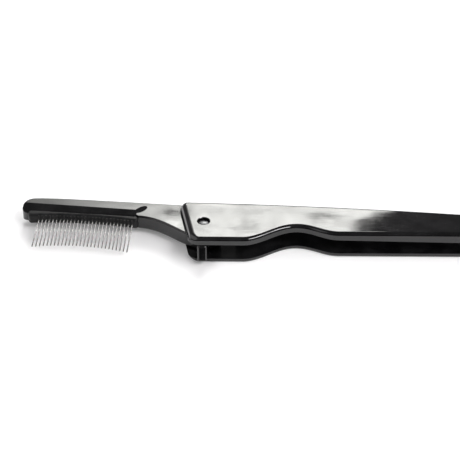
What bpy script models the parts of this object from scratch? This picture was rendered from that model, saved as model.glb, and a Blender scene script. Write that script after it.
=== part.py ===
"""Folding lash comb: a slotted two-shell handle, a swinging comb arm and 27 steel teeth.

The comb lies on its side on the handle's flat underside, with the arm fully open.
Outlines are drawn in plan about the pivot axis: +X runs to the handle's tail, +Y to its
spine, and z = 0 is the underside. The part's origin lies on the underside, under the grip.
"""

import math

import bmesh
import bpy
from mathutils import Matrix, Vector

# Handle, in plan from the pivot axis
MOUNT_REACH = 0.0400
TAIL_REACH = 0.0880
TAIL_RADIUS = 0.0042
TAIL_FRONT = 0.0067
TAIL_SPINE = 0.0023
END_BACK_REACH = 0.0074
END_BACK_RADIUS = 0.0032
END_FRONT_REACH = 0.0040
END_FRONT_RADIUS = 0.0040
END_FRONT = 0.0086
END_SPINE = 0.01005
SPINE_BOW = 0.0010
BULGE_FRONT = 0.0088
BULGE_REACH = 0.0110
CREST_FRONT = 0.0025
CREST_REACH = 0.0265
GRIP_FRONT = 0.0062
GRIP_REACH = 0.0385
OUTLINE_STEP = 0.0016
SPINE_STEP = 0.0064

# Handle, in height
HANDLE_THICKNESS = 0.0084
UPPER_CHEEK = 0.0022
LOWER_CHEEK = 0.0014
UPPER_EDGE_RADIUS = 0.0012
LOWER_EDGE_RADIUS = 0.0009
END_ROUND_REACH = 0.0030
END_ROUND_SHARE = 1.7
PARTING_GAP = 0.0001

# Slot between the cheeks, closed along the spine by a web
WEB_THICKNESS = 0.0011
WEB_START_REACH = 0.0092
SLOT_END_INSET = 0.0070
SLOT_END_RADIUS = 0.0030
TAPER_REACH = 0.0300
UPPER_TAPER = 0.0010
LOWER_TAPER = 0.0002

# Stop post at the back of the mouth, half on each shell
STOP_X = -0.0023
STOP_Y = 0.0089
STOP_RADIUS = 0.0009
STOP_GAP = 0.00025

# Locating pegs that line the shells up
PEG_RADIUS = 0.0009
PEG_HEIGHT = 0.0012
PEG_CLEARANCE = 0.00015
PEG_END_GAP = 0.0003
PEG_PAD_RADIUS = 0.0019
PEG_PAD_GAP = 0.0068
TAIL_PEG_INSET = 0.0037

# Pivot rivet, in two halves
RIVET_HEAD_RADIUS = 0.00165
RIVET_HEAD_RIM = 0.00030
RIVET_HEAD_DOME = 0.00050
RIVET_RECESS_RADIUS = 0.0020
RIVET_RECESS_DEPTH = 0.0010
RIVET_SHANK_RADIUS = 0.00070
BARREL_RADIUS = 0.00125
BARREL_BORE_RADIUS = 0.00085
CAP_HEAD_RADIUS = 0.0021
CAP_HEAD_THICKNESS = 0.00055
CAP_RECESS_RADIUS = 0.0024
CAP_RECESS_DEPTH = 0.0008
BORE_CLEARANCE = 0.00020

# Comb arm: hub, flipper, neck and head
ARM_THICKNESS = 0.0044
ARM_EDGE_RADIUS = 0.0006
HUB_RADIUS = 0.0050
HUB_FRONT = 0.0044
FLIPPER_REACH = 0.0106
FLIPPER_LEFT = 0.00175
FLIPPER_RIGHT = 0.00110
FLIPPER_NOSE_RADIUS = 0.0008
FLIPPER_FILLET = 0.0016
FLIPPER_NOSE_TILT = math.radians(20)
SHOULDER_FOOT = 0.0076
SHOULDER_TOP = 0.0114
SHOULDER_RADIUS = 0.0008
NECK_REACH = 0.0187
NECK_FRONT = 0.0055
NECK_BEND_SHARES = ((0.425, 0.10), (0.66, 0.79))
HEAD_TIP_LENGTH = 0.0026
HEAD_BACK = 0.01545
HEAD_BACK_RADIUS = 0.0043
HEAD_FRONT = 0.00875
HEAD_FRONT_RADIUS = 0.0020
BACK_BEND_SHARES = ((0.34, 0.12), (0.66, 0.92))

# Slope along the head's front, on both faces, and the scoop where it ends
SLOPE_LEFT_BACK = 0.0128
SLOPE_RIGHT_BACK = 0.0089
SLOPE_RIGHT_REACH = 0.0206
SLOPE_TILT = math.radians(12.5)
SCOOP_REACH = 0.0185
SCOOP_BACK = 0.0091
SCOOP_LENGTH = 0.0050
SCOOP_WIDTH = 0.0026
SCOOP_DEPTH = 0.00040
SCOOP_RISE = 0.00060
SCOOP_TURN = math.radians(36)

# Tooth carrier: a bowed bar with a tongue that sits in the head
CARRIER_LEFT_REACH = 0.0506
CARRIER_RIGHT_REACH = 0.0190
CARRIER_LEFT_BACK = 0.0096
CARRIER_RIGHT_BACK = 0.00645
CARRIER_LEFT_FRONT = 0.0071
CARRIER_RIGHT_FRONT = 0.0042
CARRIER_BOW = 0.0011
CARRIER_HEIGHT = 0.0033
CARRIER_EDGE_RADIUS = 0.0004
CARRIER_END_RADIUS = 0.0011
CARRIER_BACK_RADIUS = 0.0007
TONGUE_HEIGHT = 0.0014
TONGUE_DEPTH = 0.0020
TONGUE_INSET = 0.0016
SEAT_GAP = 0.0001

# Teeth
TOOTH_COUNT = 27
TOOTH_RADIUS = 0.00022
TOOTH_SEAT = 0.0021
TOOTH_RISE = 0.0002
TOOTH_FIRST_INSET = 0.0025
TOOTH_LAST_INSET = 0.0018
TOOTH_LEAN = math.radians(5.0)
TOOTH_DROP = math.radians(8.3)
TOOTH_HOLE_CLEARANCE = 0.00007
TIP_LEFT = 0.0047
TIP_RIGHT = 0.0075
TIP_BOW = 0.0021
TIP_ROUND = 0.00016

# How finely round shapes are cut, and how far cutters run past what they cut
ARC_STEP = math.radians(11)
SMOOTH_ANGLE = math.radians(35)
CURVE_STEPS = 14
EDGE_SEGMENTS = 3
ROUND_SIDES = 24
TOOTH_SIDES = 8
OVERRUN = 0.0030
SINK = 0.0005
WELD = 0.000001

PARTING = LOWER_CHEEK + (HANDLE_THICKNESS - UPPER_CHEEK - LOWER_CHEEK) / 2
SLOT_TOP = HANDLE_THICKNESS - UPPER_CHEEK
SLOT_END_REACH = TAIL_REACH - SLOT_END_INSET
HEAD_REACH = CARRIER_LEFT_REACH + HEAD_TIP_LENGTH
PEG_PAD_REACH = HEAD_REACH + PEG_PAD_GAP
TOOTH_FIRST_REACH = CARRIER_LEFT_REACH - TOOTH_FIRST_INSET
TOOTH_LAST_REACH = CARRIER_RIGHT_REACH + TOOTH_LAST_INSET
ARM_LOW = PARTING - ARM_THICKNESS / 2
ARM_HIGH = PARTING + ARM_THICKNESS / 2
PIVOT = Vector((-MOUNT_REACH, 0, 0))


def clear_scene():
    for obj in list(bpy.data.objects):
        bpy.data.objects.remove(obj, do_unlink=True)


def new_collection(name, hidden=False):
    group = bpy.data.collections.new(name)
    group.hide_render = hidden
    bpy.context.scene.collection.children.link(group)
    return group


def mix(first, second, share):
    return first + (second - first) * share


def arc(centre, radius, start, end):
    """Points on an arc, both ends included, from the start angle to the end angle."""
    steps = max(2, math.ceil(abs(end - start) / ARC_STEP))
    angles = [mix(start, end, i / steps) for i in range(steps + 1)]
    return [
        (centre[0] + radius * math.cos(angle), centre[1] + radius * math.sin(angle))
        for angle in angles
    ]


def corner_reach(before, at, after, radius):
    """How far from the point a rounding of that radius starts and ends."""
    half = (Vector(before) - Vector(at)).angle(Vector(after) - Vector(at)) / 2
    return radius / math.tan(half)


def corner(before, at, after, radius):
    """The corner at a point between two straight lines, rounded to a radius."""
    here = Vector(at)
    inward = (Vector(before) - here).normalized()
    outward = (Vector(after) - here).normalized()
    reach = corner_reach(before, at, after, radius)
    middle = (inward + outward).normalized()
    centre = here + middle * math.hypot(reach, radius)
    start = here + inward * reach - centre
    end = here + outward * reach - centre
    begin = math.atan2(start.y, start.x)
    turn = math.atan2(start.x * end.y - start.y * end.x, start.dot(end))
    return arc(centre, radius, begin, begin + turn)


def end_in_corner(path, after, radius):
    """A path whose last point becomes a rounded corner, less the points that this takes away."""
    *kept, at = path
    while len(kept) > 1 and math.dist(kept[-1], at) < corner_reach(kept[-1], at, after, radius):
        kept.pop()
    return kept + corner(kept[-1], at, after, radius)


def bezier(start, bend_shares, end):
    """A cubic curve whose two handles lie at shares of the run and the rise between its ends."""
    handles = [
        (mix(start[0], end[0], along), mix(start[1], end[1], across))
        for along, across in bend_shares
    ]
    points = []
    for i in range(CURVE_STEPS + 1):
        t = i / CURVE_STEPS
        weights = ((1 - t) ** 3, 3 * t * (1 - t) ** 2, 3 * t * t * (1 - t), t**3)
        knots = (start, handles[0], handles[1], end)
        x = sum(weight * knot[0] for weight, knot in zip(weights, knots))
        y = sum(weight * knot[1] for weight, knot in zip(weights, knots))
        points.append((x, y))
    return points


def bowed(left, right, bow, share):
    """A height between two ends, raised by a bow that is largest halfway."""
    return mix(left, right, share) + bow * 4 * share * (1 - share)


def spine_y(x):
    share = (x + END_BACK_REACH) / (TAIL_REACH + END_BACK_REACH)
    return bowed(END_SPINE, TAIL_SPINE, SPINE_BOW, share)


def front_y(x):
    """The handle's front edge: bulge at the pivot, finger notch, then the long grip."""
    if x <= BULGE_REACH:
        return -BULGE_FRONT
    if x <= CREST_REACH:
        share = (x - BULGE_REACH) / (CREST_REACH - BULGE_REACH)
        return -mix(BULGE_FRONT, CREST_FRONT, (1 - math.cos(math.pi * share)) / 2)
    if x <= GRIP_REACH:
        share = (x - CREST_REACH) / (GRIP_REACH - CREST_REACH)
        return -mix(CREST_FRONT, GRIP_FRONT, (1 - math.cos(math.pi * share)) / 2)
    share = (x - GRIP_REACH) / (TAIL_REACH - GRIP_REACH)
    return -mix(GRIP_FRONT, TAIL_FRONT, share)


def stations(start, end, step):
    """Even places from the start to the end, about one step apart."""
    count = max(1, round(abs(end - start) / step))
    return [mix(start, end, i / count) for i in range(count + 1)]


def handle_outline():
    back_left = (-END_BACK_REACH, END_SPINE)
    front_left = (-END_FRONT_REACH, -END_FRONT)
    front_tail = (TAIL_REACH, -TAIL_FRONT)
    back_tail = (TAIL_REACH, TAIL_SPINE)
    curve_start = (BULGE_REACH, -BULGE_FRONT)
    grip_end = (GRIP_REACH, -GRIP_FRONT)
    spine_start = (BULGE_REACH, spine_y(BULGE_REACH))
    spine_end = (TAIL_REACH - TAIL_RADIUS, spine_y(TAIL_REACH - TAIL_RADIUS))
    outline = corner(back_left, front_left, curve_start, END_FRONT_RADIUS)
    outline += [(x, front_y(x)) for x in stations(BULGE_REACH, GRIP_REACH, OUTLINE_STEP)]
    outline += corner(grip_end, front_tail, back_tail, TAIL_RADIUS)
    outline += corner(front_tail, back_tail, spine_end, TAIL_RADIUS)
    spine = stations(TAIL_REACH - 2 * TAIL_RADIUS, BULGE_REACH, SPINE_STEP)
    outline += [(x, spine_y(x)) for x in spine]
    outline += corner(spine_start, back_left, front_left, END_BACK_RADIUS)
    return outline


def slot_outline():
    """The slot in plan, run out past the front, the mouth and the open part of the spine."""
    left = -END_BACK_REACH - OVERRUN
    back = END_SPINE + OVERRUN
    front = -BULGE_FRONT - OVERRUN
    end_back = (SLOT_END_REACH, spine_y(SLOT_END_REACH) - WEB_THICKNESS)
    web_end = SLOT_END_REACH - SLOT_END_RADIUS
    places = stations(web_end, WEB_START_REACH, SPINE_STEP)
    web = [(x, spine_y(x) - WEB_THICKNESS) for x in places]
    outline = [(left, front), (SLOT_END_REACH, front)]
    outline += corner((SLOT_END_REACH, front), end_back, web[0], SLOT_END_RADIUS)
    outline += web[1:]
    outline += [(WEB_START_REACH, back), (left, back)]
    return outline


def head_back_y(share):
    return mix(CARRIER_LEFT_BACK, CARRIER_RIGHT_BACK, share)


def arm_outline():
    shoulder_x = STOP_X - STOP_RADIUS - STOP_GAP
    tip_back = (-HEAD_REACH, HEAD_BACK)
    tip_front = (-HEAD_REACH, HEAD_FRONT)
    neck_start = (-NECK_REACH, NECK_FRONT)
    shoulder_top = (shoulder_x, SHOULDER_TOP)
    shoulder_foot = (shoulder_x, SHOULDER_FOOT)
    nose_left = (-FLIPPER_LEFT, -FLIPPER_REACH)
    nose_right = (FLIPPER_RIGHT, -FLIPPER_REACH)
    flipper_root = (-FLIPPER_LEFT, -HUB_FRONT)
    fillet_x = FLIPPER_RIGHT + FLIPPER_FILLET
    fillet_y = -math.sqrt((HUB_RADIUS + FLIPPER_FILLET) ** 2 - fillet_x**2)
    fillet_turn = math.atan2(-fillet_y, -fillet_x)
    hub_start = math.atan2(fillet_y, fillet_x)
    foot_angle = math.atan2(SHOULDER_FOOT, shoulder_x)
    foot_distance = math.hypot(shoulder_x, SHOULDER_FOOT)
    hub_end = foot_angle - math.acos(HUB_RADIUS / foot_distance)
    outline = bezier(neck_start, NECK_BEND_SHARES, flipper_root)
    outline += corner(flipper_root, nose_left, nose_right, FLIPPER_NOSE_RADIUS)
    outline += corner(nose_left, nose_right, (FLIPPER_RIGHT, 0), FLIPPER_NOSE_RADIUS)
    outline += arc((fillet_x, fillet_y), FLIPPER_FILLET, math.pi, fillet_turn)
    outline += arc((0, 0), HUB_RADIUS, hub_start, hub_end)[1:]
    outline.append(shoulder_foot)
    back = bezier(shoulder_top, BACK_BEND_SHARES, tip_back)
    outline += corner(shoulder_foot, shoulder_top, back[1], SHOULDER_RADIUS)
    outline += end_in_corner(back[1:], tip_front, HEAD_BACK_RADIUS)
    outline += corner(tip_back, tip_front, neck_start, HEAD_FRONT_RADIUS)
    return outline


def carrier_front_y(share):
    return bowed(CARRIER_LEFT_FRONT, CARRIER_RIGHT_FRONT, CARRIER_BOW, share)


def carrier_share(x):
    return (x + CARRIER_LEFT_REACH) / (CARRIER_LEFT_REACH - CARRIER_RIGHT_REACH)


def carrier_outline(gap):
    """The carrier's body in plan, held a gap away from the seat in the head."""
    left = -CARRIER_LEFT_REACH + gap
    right = -CARRIER_RIGHT_REACH - gap
    first = left + CARRIER_END_RADIUS
    last = right - CARRIER_END_RADIUS
    front = [(x, carrier_front_y(carrier_share(x))) for x in stations(first, last, OUTLINE_STEP)]
    front_left = (left, carrier_front_y(0))
    front_right = (right, carrier_front_y(1))
    back_left = (left, head_back_y(0) - gap)
    back_right = (right, head_back_y(1) - gap)
    outline = corner(back_left, front_left, front[1], CARRIER_END_RADIUS)
    outline += front[1:-1]
    outline += corner(front[-2], front_right, back_right, CARRIER_END_RADIUS)
    outline += corner(front_right, back_right, back_left, CARRIER_BACK_RADIUS)
    outline += corner(back_right, back_left, front_left, CARRIER_BACK_RADIUS)
    return outline


def seat_outline():
    """The seat in the head's front, run out past the front of the head."""
    front = min(NECK_FRONT, CARRIER_RIGHT_FRONT) - OVERRUN
    front_left = (-CARRIER_LEFT_REACH, front)
    front_right = (-CARRIER_RIGHT_REACH, front)
    back_right = (-CARRIER_RIGHT_REACH, head_back_y(1))
    back_left = (-CARRIER_LEFT_REACH, head_back_y(0))
    outline = [front_left, front_right]
    outline += corner(front_right, back_right, back_left, CARRIER_BACK_RADIUS)
    outline += corner(back_right, back_left, front_left, CARRIER_BACK_RADIUS)
    return outline


def tongue_outline(gap):
    """The tongue behind the carrier's body, or with a gap its groove in the head."""
    left = -CARRIER_LEFT_REACH + TONGUE_INSET
    right = -CARRIER_RIGHT_REACH - TONGUE_INSET
    low_left = head_back_y(carrier_share(left))
    low_right = head_back_y(carrier_share(right))
    return [
        (left - gap, low_left - SINK),
        (right + gap, low_right - SINK),
        (right + gap, low_right + TONGUE_DEPTH + gap),
        (left - gap, low_left + TONGUE_DEPTH + gap),
    ]


def extruded(name, outline, low, high):
    """The mesh of a flat outline between two heights, with a one-piece face on each end."""
    curve = bpy.data.curves.new(name, "CURVE")
    curve.dimensions = "2D"
    curve.fill_mode = "BOTH"
    curve.extrude = (high - low) / 2
    spline = curve.splines.new("POLY")
    spline.points.add(len(outline) - 1)
    for knot, (x, y) in zip(spline.points, outline):
        knot.co = (x, y, 0, 1)
    spline.use_cyclic_u = True
    guide = bpy.data.objects.new(name, curve)
    bpy.context.scene.collection.objects.link(guide)
    graph = bpy.context.evaluated_depsgraph_get()
    mesh = bpy.data.meshes.new_from_object(guide.evaluated_get(graph))
    bpy.data.objects.remove(guide, do_unlink=True)
    bpy.data.curves.remove(curve)
    shape = bmesh.new()
    shape.from_mesh(mesh)
    bmesh.ops.remove_doubles(shape, verts=shape.verts, dist=WELD)
    bmesh.ops.translate(shape, verts=shape.verts, vec=(0, 0, (low + high) / 2))
    bmesh.ops.recalc_face_normals(shape, faces=shape.faces)
    caps = {face for face in shape.faces if abs(face.normal.z) > 0.5}
    inner = [edge for edge in shape.edges if caps.issuperset(edge.link_faces)]
    bmesh.ops.dissolve_edges(shape, edges=inner, use_verts=False)
    shape.to_mesh(mesh)
    shape.free()
    mesh.name = name
    return mesh


def round_loop(mesh, height, weight):
    """Gives the outline's edges at one height a bevel weight, worked out from their places."""
    shape = bmesh.new()
    shape.from_mesh(mesh)
    layer = shape.edges.layers.float.get("bevel_weight_edge")
    if layer is None:
        layer = shape.edges.layers.float.new("bevel_weight_edge")
    for edge in shape.edges:
        if all(abs(vert.co.z - height) < WELD for vert in edge.verts):
            middle = (edge.verts[0].co + edge.verts[1].co) / 2
            edge[layer] = weight(middle)
    shape.to_mesh(mesh)
    shape.free()


def cylinder(name, radius, low, high, centre, sides=ROUND_SIDES):
    mesh = bpy.data.meshes.new(name)
    shape = bmesh.new()
    middle = Matrix.Translation((centre[0], centre[1], (low + high) / 2))
    bmesh.ops.create_cone(
        shape, cap_ends=True, segments=sides, radius1=radius, radius2=radius,
        depth=high - low, matrix=middle,
    )
    shape.to_mesh(mesh)
    shape.free()
    return mesh


def turned(name, profile, sides, group, material):
    """A turned piece: its profile runs down the outside, from the top of the axis to the foot."""
    mesh = bpy.data.meshes.new(name)
    shape = bmesh.new()
    verts = [shape.verts.new((radius, 0, height)) for radius, height in profile]
    for above, below in zip(verts, verts[1:]):
        shape.edges.new((above, below))
    shape.to_mesh(mesh)
    shape.free()
    piece = place(name, mesh, group, material)
    screw = piece.modifiers.new("turn", "SCREW")
    screw.steps = sides
    screw.render_steps = sides
    screw.use_merge_vertices = True
    screw.merge_threshold = WELD
    return piece


def place(name, mesh, group, material=None):
    piece = bpy.data.objects.new(name, mesh)
    piece.location = PIVOT
    group.objects.link(piece)
    if material is not None:
        mesh.materials.append(material)
        mesh.shade_smooth()
        mesh.set_sharp_from_angle(angle=SMOOTH_ANGLE)
    return piece


def helper(name, mesh, group):
    piece = place(name, mesh, group)
    piece.hide_render = True
    piece.display_type = "WIRE"
    return piece


def combine(piece, other, operation="DIFFERENCE"):
    modifier = piece.modifiers.new(other.name, "BOOLEAN")
    modifier.operation = operation
    modifier.solver = "EXACT"
    modifier.object = other


def round_edges(piece, radius):
    bevel = piece.modifiers.new("edges", "BEVEL")
    bevel.limit_method = "WEIGHT"
    bevel.width = radius
    bevel.segments = EDGE_SEGMENTS
    bevel.use_clamp_overlap = False


def material(name, colour, roughness, metallic=0.0):
    made = bpy.data.materials.new(name)
    made.use_nodes = True
    shader = made.node_tree.nodes["Principled BSDF"]
    shader.inputs["Base Color"].default_value = (*colour, 1)
    shader.inputs["Roughness"].default_value = roughness
    shader.inputs["Metallic"].default_value = metallic
    made.diffuse_color = (*colour, 1)
    return made


def eased(share):
    """A share held between 0 and 1, with a soft start and end."""
    held = min(1, max(0, share))
    return held * held * (3 - 2 * held)


def end_round_weight(point):
    """Edges are rounder across the mouth end of the handle than along its length."""
    along = eased(-point.x / END_ROUND_REACH)
    across = eased((END_SPINE - point.y) / END_BACK_RADIUS)
    return mix(1 / END_ROUND_SHARE, 1, along * across)


def even_weight(point):
    return 1.0


def slot_cutter(group):
    mesh = extruded("slot", slot_outline(), LOWER_CHEEK, SLOT_TOP)
    shape = bmesh.new()
    shape.from_mesh(mesh)
    everything = shape.verts[:] + shape.edges[:] + shape.faces[:]
    start = (TAPER_REACH, 0, 0)
    bmesh.ops.bisect_plane(shape, geom=everything, plane_co=start, plane_no=(1, 0, 0))
    for vert in shape.verts:
        share = max(0, vert.co.x - TAPER_REACH) / (SLOT_END_REACH - TAPER_REACH)
        if vert.co.z > PARTING:
            vert.co.z -= UPPER_TAPER * share
        else:
            vert.co.z += LOWER_TAPER * share
    shape.to_mesh(mesh)
    shape.free()
    return helper("slot_cutter", mesh, group)


def pad_centre():
    y = spine_y(PEG_PAD_REACH) - WEB_THICKNESS / 2 - PEG_PAD_RADIUS
    return (PEG_PAD_REACH, y)


def tail_peg_centre():
    return (TAIL_REACH - TAIL_PEG_INSET, (TAIL_SPINE - TAIL_FRONT) / 2)


def make_upper_shell(group, cutters, slot, plastic):
    low = PARTING + PARTING_GAP / 2
    mesh = extruded("handle_upper_shell", handle_outline(), low, HANDLE_THICKNESS)
    round_loop(mesh, HANDLE_THICKNESS, end_round_weight)
    shell = place("handle_upper_shell", mesh, group, plastic)
    round_edges(shell, UPPER_EDGE_RADIUS * END_ROUND_SHARE)
    combine(shell, slot)
    stop_mesh = cylinder("upper_stop", STOP_RADIUS, low, SLOT_TOP + SINK, (STOP_X, STOP_Y))
    combine(shell, helper("upper_stop", stop_mesh, cutters), "UNION")
    pad_mesh = cylinder("upper_pad", PEG_PAD_RADIUS, low, SLOT_TOP + SINK, pad_centre())
    combine(shell, helper("upper_pad", pad_mesh, cutters), "UNION")
    recess_low = HANDLE_THICKNESS - RIVET_RECESS_DEPTH
    recess_high = HANDLE_THICKNESS + OVERRUN
    recess_mesh = cylinder("rivet_recess", RIVET_RECESS_RADIUS, recess_low, recess_high, (0, 0))
    combine(shell, helper("rivet_recess", recess_mesh, cutters))
    bore = BARREL_RADIUS + BORE_CLEARANCE
    bore_mesh = cylinder("upper_bore", bore, PARTING, recess_low + SINK, (0, 0))
    combine(shell, helper("upper_bore", bore_mesh, cutters))
    socket_high = PARTING + PEG_HEIGHT + PEG_END_GAP
    for name, centre in (("pad_socket", pad_centre()), ("tail_socket", tail_peg_centre())):
        radius = PEG_RADIUS + PEG_CLEARANCE
        socket_mesh = cylinder(name, radius, PARTING - SINK, socket_high, centre)
        combine(shell, helper(name, socket_mesh, cutters))
    return shell


def make_lower_shell(group, cutters, slot, plastic):
    high = PARTING - PARTING_GAP / 2
    mesh = extruded("handle_lower_shell", handle_outline(), 0, high)
    round_loop(mesh, 0, end_round_weight)
    shell = place("handle_lower_shell", mesh, group, plastic)
    round_edges(shell, LOWER_EDGE_RADIUS * END_ROUND_SHARE)
    combine(shell, slot)
    stop_mesh = cylinder("lower_stop", STOP_RADIUS, LOWER_CHEEK - SINK, high, (STOP_X, STOP_Y))
    combine(shell, helper("lower_stop", stop_mesh, cutters), "UNION")
    pad_mesh = cylinder("lower_pad", PEG_PAD_RADIUS, LOWER_CHEEK - SINK, high, pad_centre())
    combine(shell, helper("lower_pad", pad_mesh, cutters), "UNION")
    for name, centre in (("pad_peg", pad_centre()), ("tail_peg", tail_peg_centre())):
        peg_mesh = cylinder(name, PEG_RADIUS, high - SINK, PARTING + PEG_HEIGHT, centre)
        combine(shell, helper(name, peg_mesh, cutters), "UNION")
    recess_mesh = cylinder("cap_recess", CAP_RECESS_RADIUS, -OVERRUN, CAP_RECESS_DEPTH, (0, 0))
    combine(shell, helper("cap_recess", recess_mesh, cutters))
    bore = BARREL_RADIUS + BORE_CLEARANCE
    bore_mesh = cylinder("lower_bore", bore, CAP_RECESS_DEPTH - SINK, PARTING, (0, 0))
    combine(shell, helper("lower_bore", bore_mesh, cutters))
    return shell


def make_rivet(group, metal):
    """The rivet's upper half: a domed head in its recess and a shank down the barrel."""
    seat = HANDLE_THICKNESS - RIVET_RECESS_DEPTH + SEAT_GAP
    rim = seat + RIVET_HEAD_RIM
    foot = CAP_RECESS_DEPTH + BORE_CLEARANCE
    cap_radius = (RIVET_HEAD_RADIUS**2 + RIVET_HEAD_DOME**2) / (2 * RIVET_HEAD_DOME)
    sweep = math.asin(RIVET_HEAD_RADIUS / cap_radius)
    centre = rim + RIVET_HEAD_DOME - cap_radius
    steps = 2 * EDGE_SEGMENTS
    dome = [mix(0, sweep, i / steps) for i in range(steps + 1)]
    profile = [(cap_radius * math.sin(a), centre + cap_radius * math.cos(a)) for a in dome]
    profile += [(RIVET_HEAD_RADIUS, seat), (RIVET_SHANK_RADIUS, seat)]
    profile += [(RIVET_SHANK_RADIUS, foot), (0, foot)]
    return turned("pivot_rivet", profile, ROUND_SIDES, group, metal)


def make_rivet_cap(group, metal):
    """The rivet's lower half: a flat head under the handle and the barrel the hub turns on."""
    seat = CAP_RECESS_DEPTH - SEAT_GAP
    top = HANDLE_THICKNESS - RIVET_RECESS_DEPTH - SEAT_GAP
    low = seat - CAP_HEAD_THICKNESS
    profile = [(0, seat), (BARREL_BORE_RADIUS, seat), (BARREL_BORE_RADIUS, top)]
    profile += [(BARREL_RADIUS, top), (BARREL_RADIUS, seat), (CAP_HEAD_RADIUS, seat)]
    profile += [(CAP_HEAD_RADIUS, low), (0, low)]
    return turned("rivet_cap", profile, ROUND_SIDES, group, metal)


def slope_cutter(name, side, group):
    """A block whose inner face is the slope: one on the upper face, one on the lower."""
    length = HEAD_REACH + OVERRUN - SLOPE_RIGHT_REACH
    rise = SLOPE_LEFT_BACK - SLOPE_RIGHT_BACK
    turn = -math.atan2(rise, HEAD_REACH - SLOPE_RIGHT_REACH)
    block = 2 * OVERRUN
    mesh = bpy.data.meshes.new(name)
    shape = bmesh.new()
    bmesh.ops.create_cube(shape, size=1)
    bmesh.ops.scale(shape, verts=shape.verts, vec=(length, block, block))
    bmesh.ops.translate(shape, verts=shape.verts, vec=(-length / 2, -block / 2, block / 2))
    tilt = Matrix.Rotation(SLOPE_TILT, 4, "X")
    slew = Matrix.Rotation(turn, 4, "Z")
    flip = Matrix.Diagonal((1, 1, side, 1))
    right_back = (-SLOPE_RIGHT_REACH, SLOPE_RIGHT_BACK, PARTING)
    lift = Matrix.Translation((0, 0, ARM_THICKNESS / 2))
    to_head = Matrix.Translation(right_back) @ flip @ lift @ slew @ tilt
    bmesh.ops.transform(shape, verts=shape.verts, matrix=to_head)
    bmesh.ops.recalc_face_normals(shape, faces=shape.faces)
    shape.to_mesh(mesh)
    shape.free()
    return helper(name, mesh, group)


def scoop_cutter(name, side, group):
    """A flattened ball that dishes the neck where the slope runs out."""
    mesh = bpy.data.meshes.new(name)
    shape = bmesh.new()
    bmesh.ops.create_uvsphere(shape, u_segments=ROUND_SIDES, v_segments=ROUND_SIDES // 2, radius=1)
    height = SCOOP_DEPTH + SCOOP_RISE
    spread = math.sqrt(1 - (SCOOP_RISE / height) ** 2)
    size = (SCOOP_LENGTH / 2 / spread, SCOOP_WIDTH / 2 / spread, height)
    bmesh.ops.scale(shape, verts=shape.verts, vec=size)
    bmesh.ops.rotate(shape, verts=shape.verts, matrix=Matrix.Rotation(SCOOP_TURN, 3, "Z"))
    centre_z = PARTING + side * (ARM_THICKNESS / 2 + SCOOP_RISE)
    bmesh.ops.translate(shape, verts=shape.verts, vec=(-SCOOP_REACH, SCOOP_BACK, centre_z))
    shape.to_mesh(mesh)
    shape.free()
    return helper(name, mesh, group)


def lean_nose(mesh):
    """Draws the top of the flipper's nose back, so that the nose faces a little upward."""
    lean = ARM_THICKNESS * math.tan(FLIPPER_NOSE_TILT)
    nose_back = -FLIPPER_REACH + FLIPPER_NOSE_RADIUS + WELD
    for vert in mesh.vertices:
        if vert.co.z > PARTING and vert.co.y < nose_back:
            vert.co.y += lean


def make_arm(group, cutters, plastic):
    mesh = extruded("comb_arm", arm_outline(), ARM_LOW, ARM_HIGH)
    lean_nose(mesh)
    round_loop(mesh, ARM_LOW, even_weight)
    round_loop(mesh, ARM_HIGH, even_weight)
    arm = place("comb_arm", mesh, group, plastic)
    round_edges(arm, ARM_EDGE_RADIUS)
    combine(arm, slope_cutter("upper_slope", 1, cutters))
    combine(arm, slope_cutter("lower_slope", -1, cutters))
    combine(arm, scoop_cutter("upper_scoop", 1, cutters))
    combine(arm, scoop_cutter("lower_scoop", -1, cutters))
    seat_mesh = extruded("seat", seat_outline(), ARM_LOW - OVERRUN, ARM_HIGH + OVERRUN)
    combine(arm, helper("seat", seat_mesh, cutters))
    groove_half = TONGUE_HEIGHT / 2 + SEAT_GAP
    groove_mesh = extruded(
        "groove", tongue_outline(SEAT_GAP), PARTING - groove_half, PARTING + groove_half
    )
    combine(arm, helper("groove", groove_mesh, cutters))
    bore = BARREL_RADIUS + BORE_CLEARANCE
    bore_mesh = cylinder("hub_bore", bore, ARM_LOW - OVERRUN, ARM_HIGH + OVERRUN, (0, 0))
    combine(arm, helper("hub_bore", bore_mesh, cutters))
    return arm


def tooth_turn():
    """Turns +Z to the way the teeth point: to the front, leaning to the tip and down."""
    lean = Matrix.Rotation(-TOOTH_LEAN, 4, "Z")
    down = Matrix.Rotation(math.pi / 2 + TOOTH_DROP, 4, "X")
    return lean @ down


def tooth_place(number):
    """Where a tooth leaves the carrier, which way it is turned, and how far it reaches."""
    x = -mix(TOOTH_FIRST_REACH, TOOTH_LAST_REACH, number / (TOOTH_COUNT - 1))
    share = carrier_share(x)
    y = carrier_front_y(share)
    tip_y = bowed(-TIP_LEFT, -TIP_RIGHT, TIP_BOW, share)
    reach = (y - tip_y) / math.cos(TOOTH_LEAN) / math.cos(TOOTH_DROP)
    return Vector((x, y, PARTING + TOOTH_RISE)), reach


def hole_cutter(number, group):
    root, _ = tooth_place(number)
    radius = TOOTH_RADIUS + TOOTH_HOLE_CLEARANCE
    depth = TOOTH_SEAT + SEAT_GAP
    name = f"tooth_hole_{number + 1:02d}"
    mesh = cylinder(name, radius, -depth, CARRIER_EDGE_RADIUS, (0, 0), TOOTH_SIDES)
    mesh.transform(Matrix.Translation(root) @ tooth_turn())
    return helper(name, mesh, group)


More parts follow.
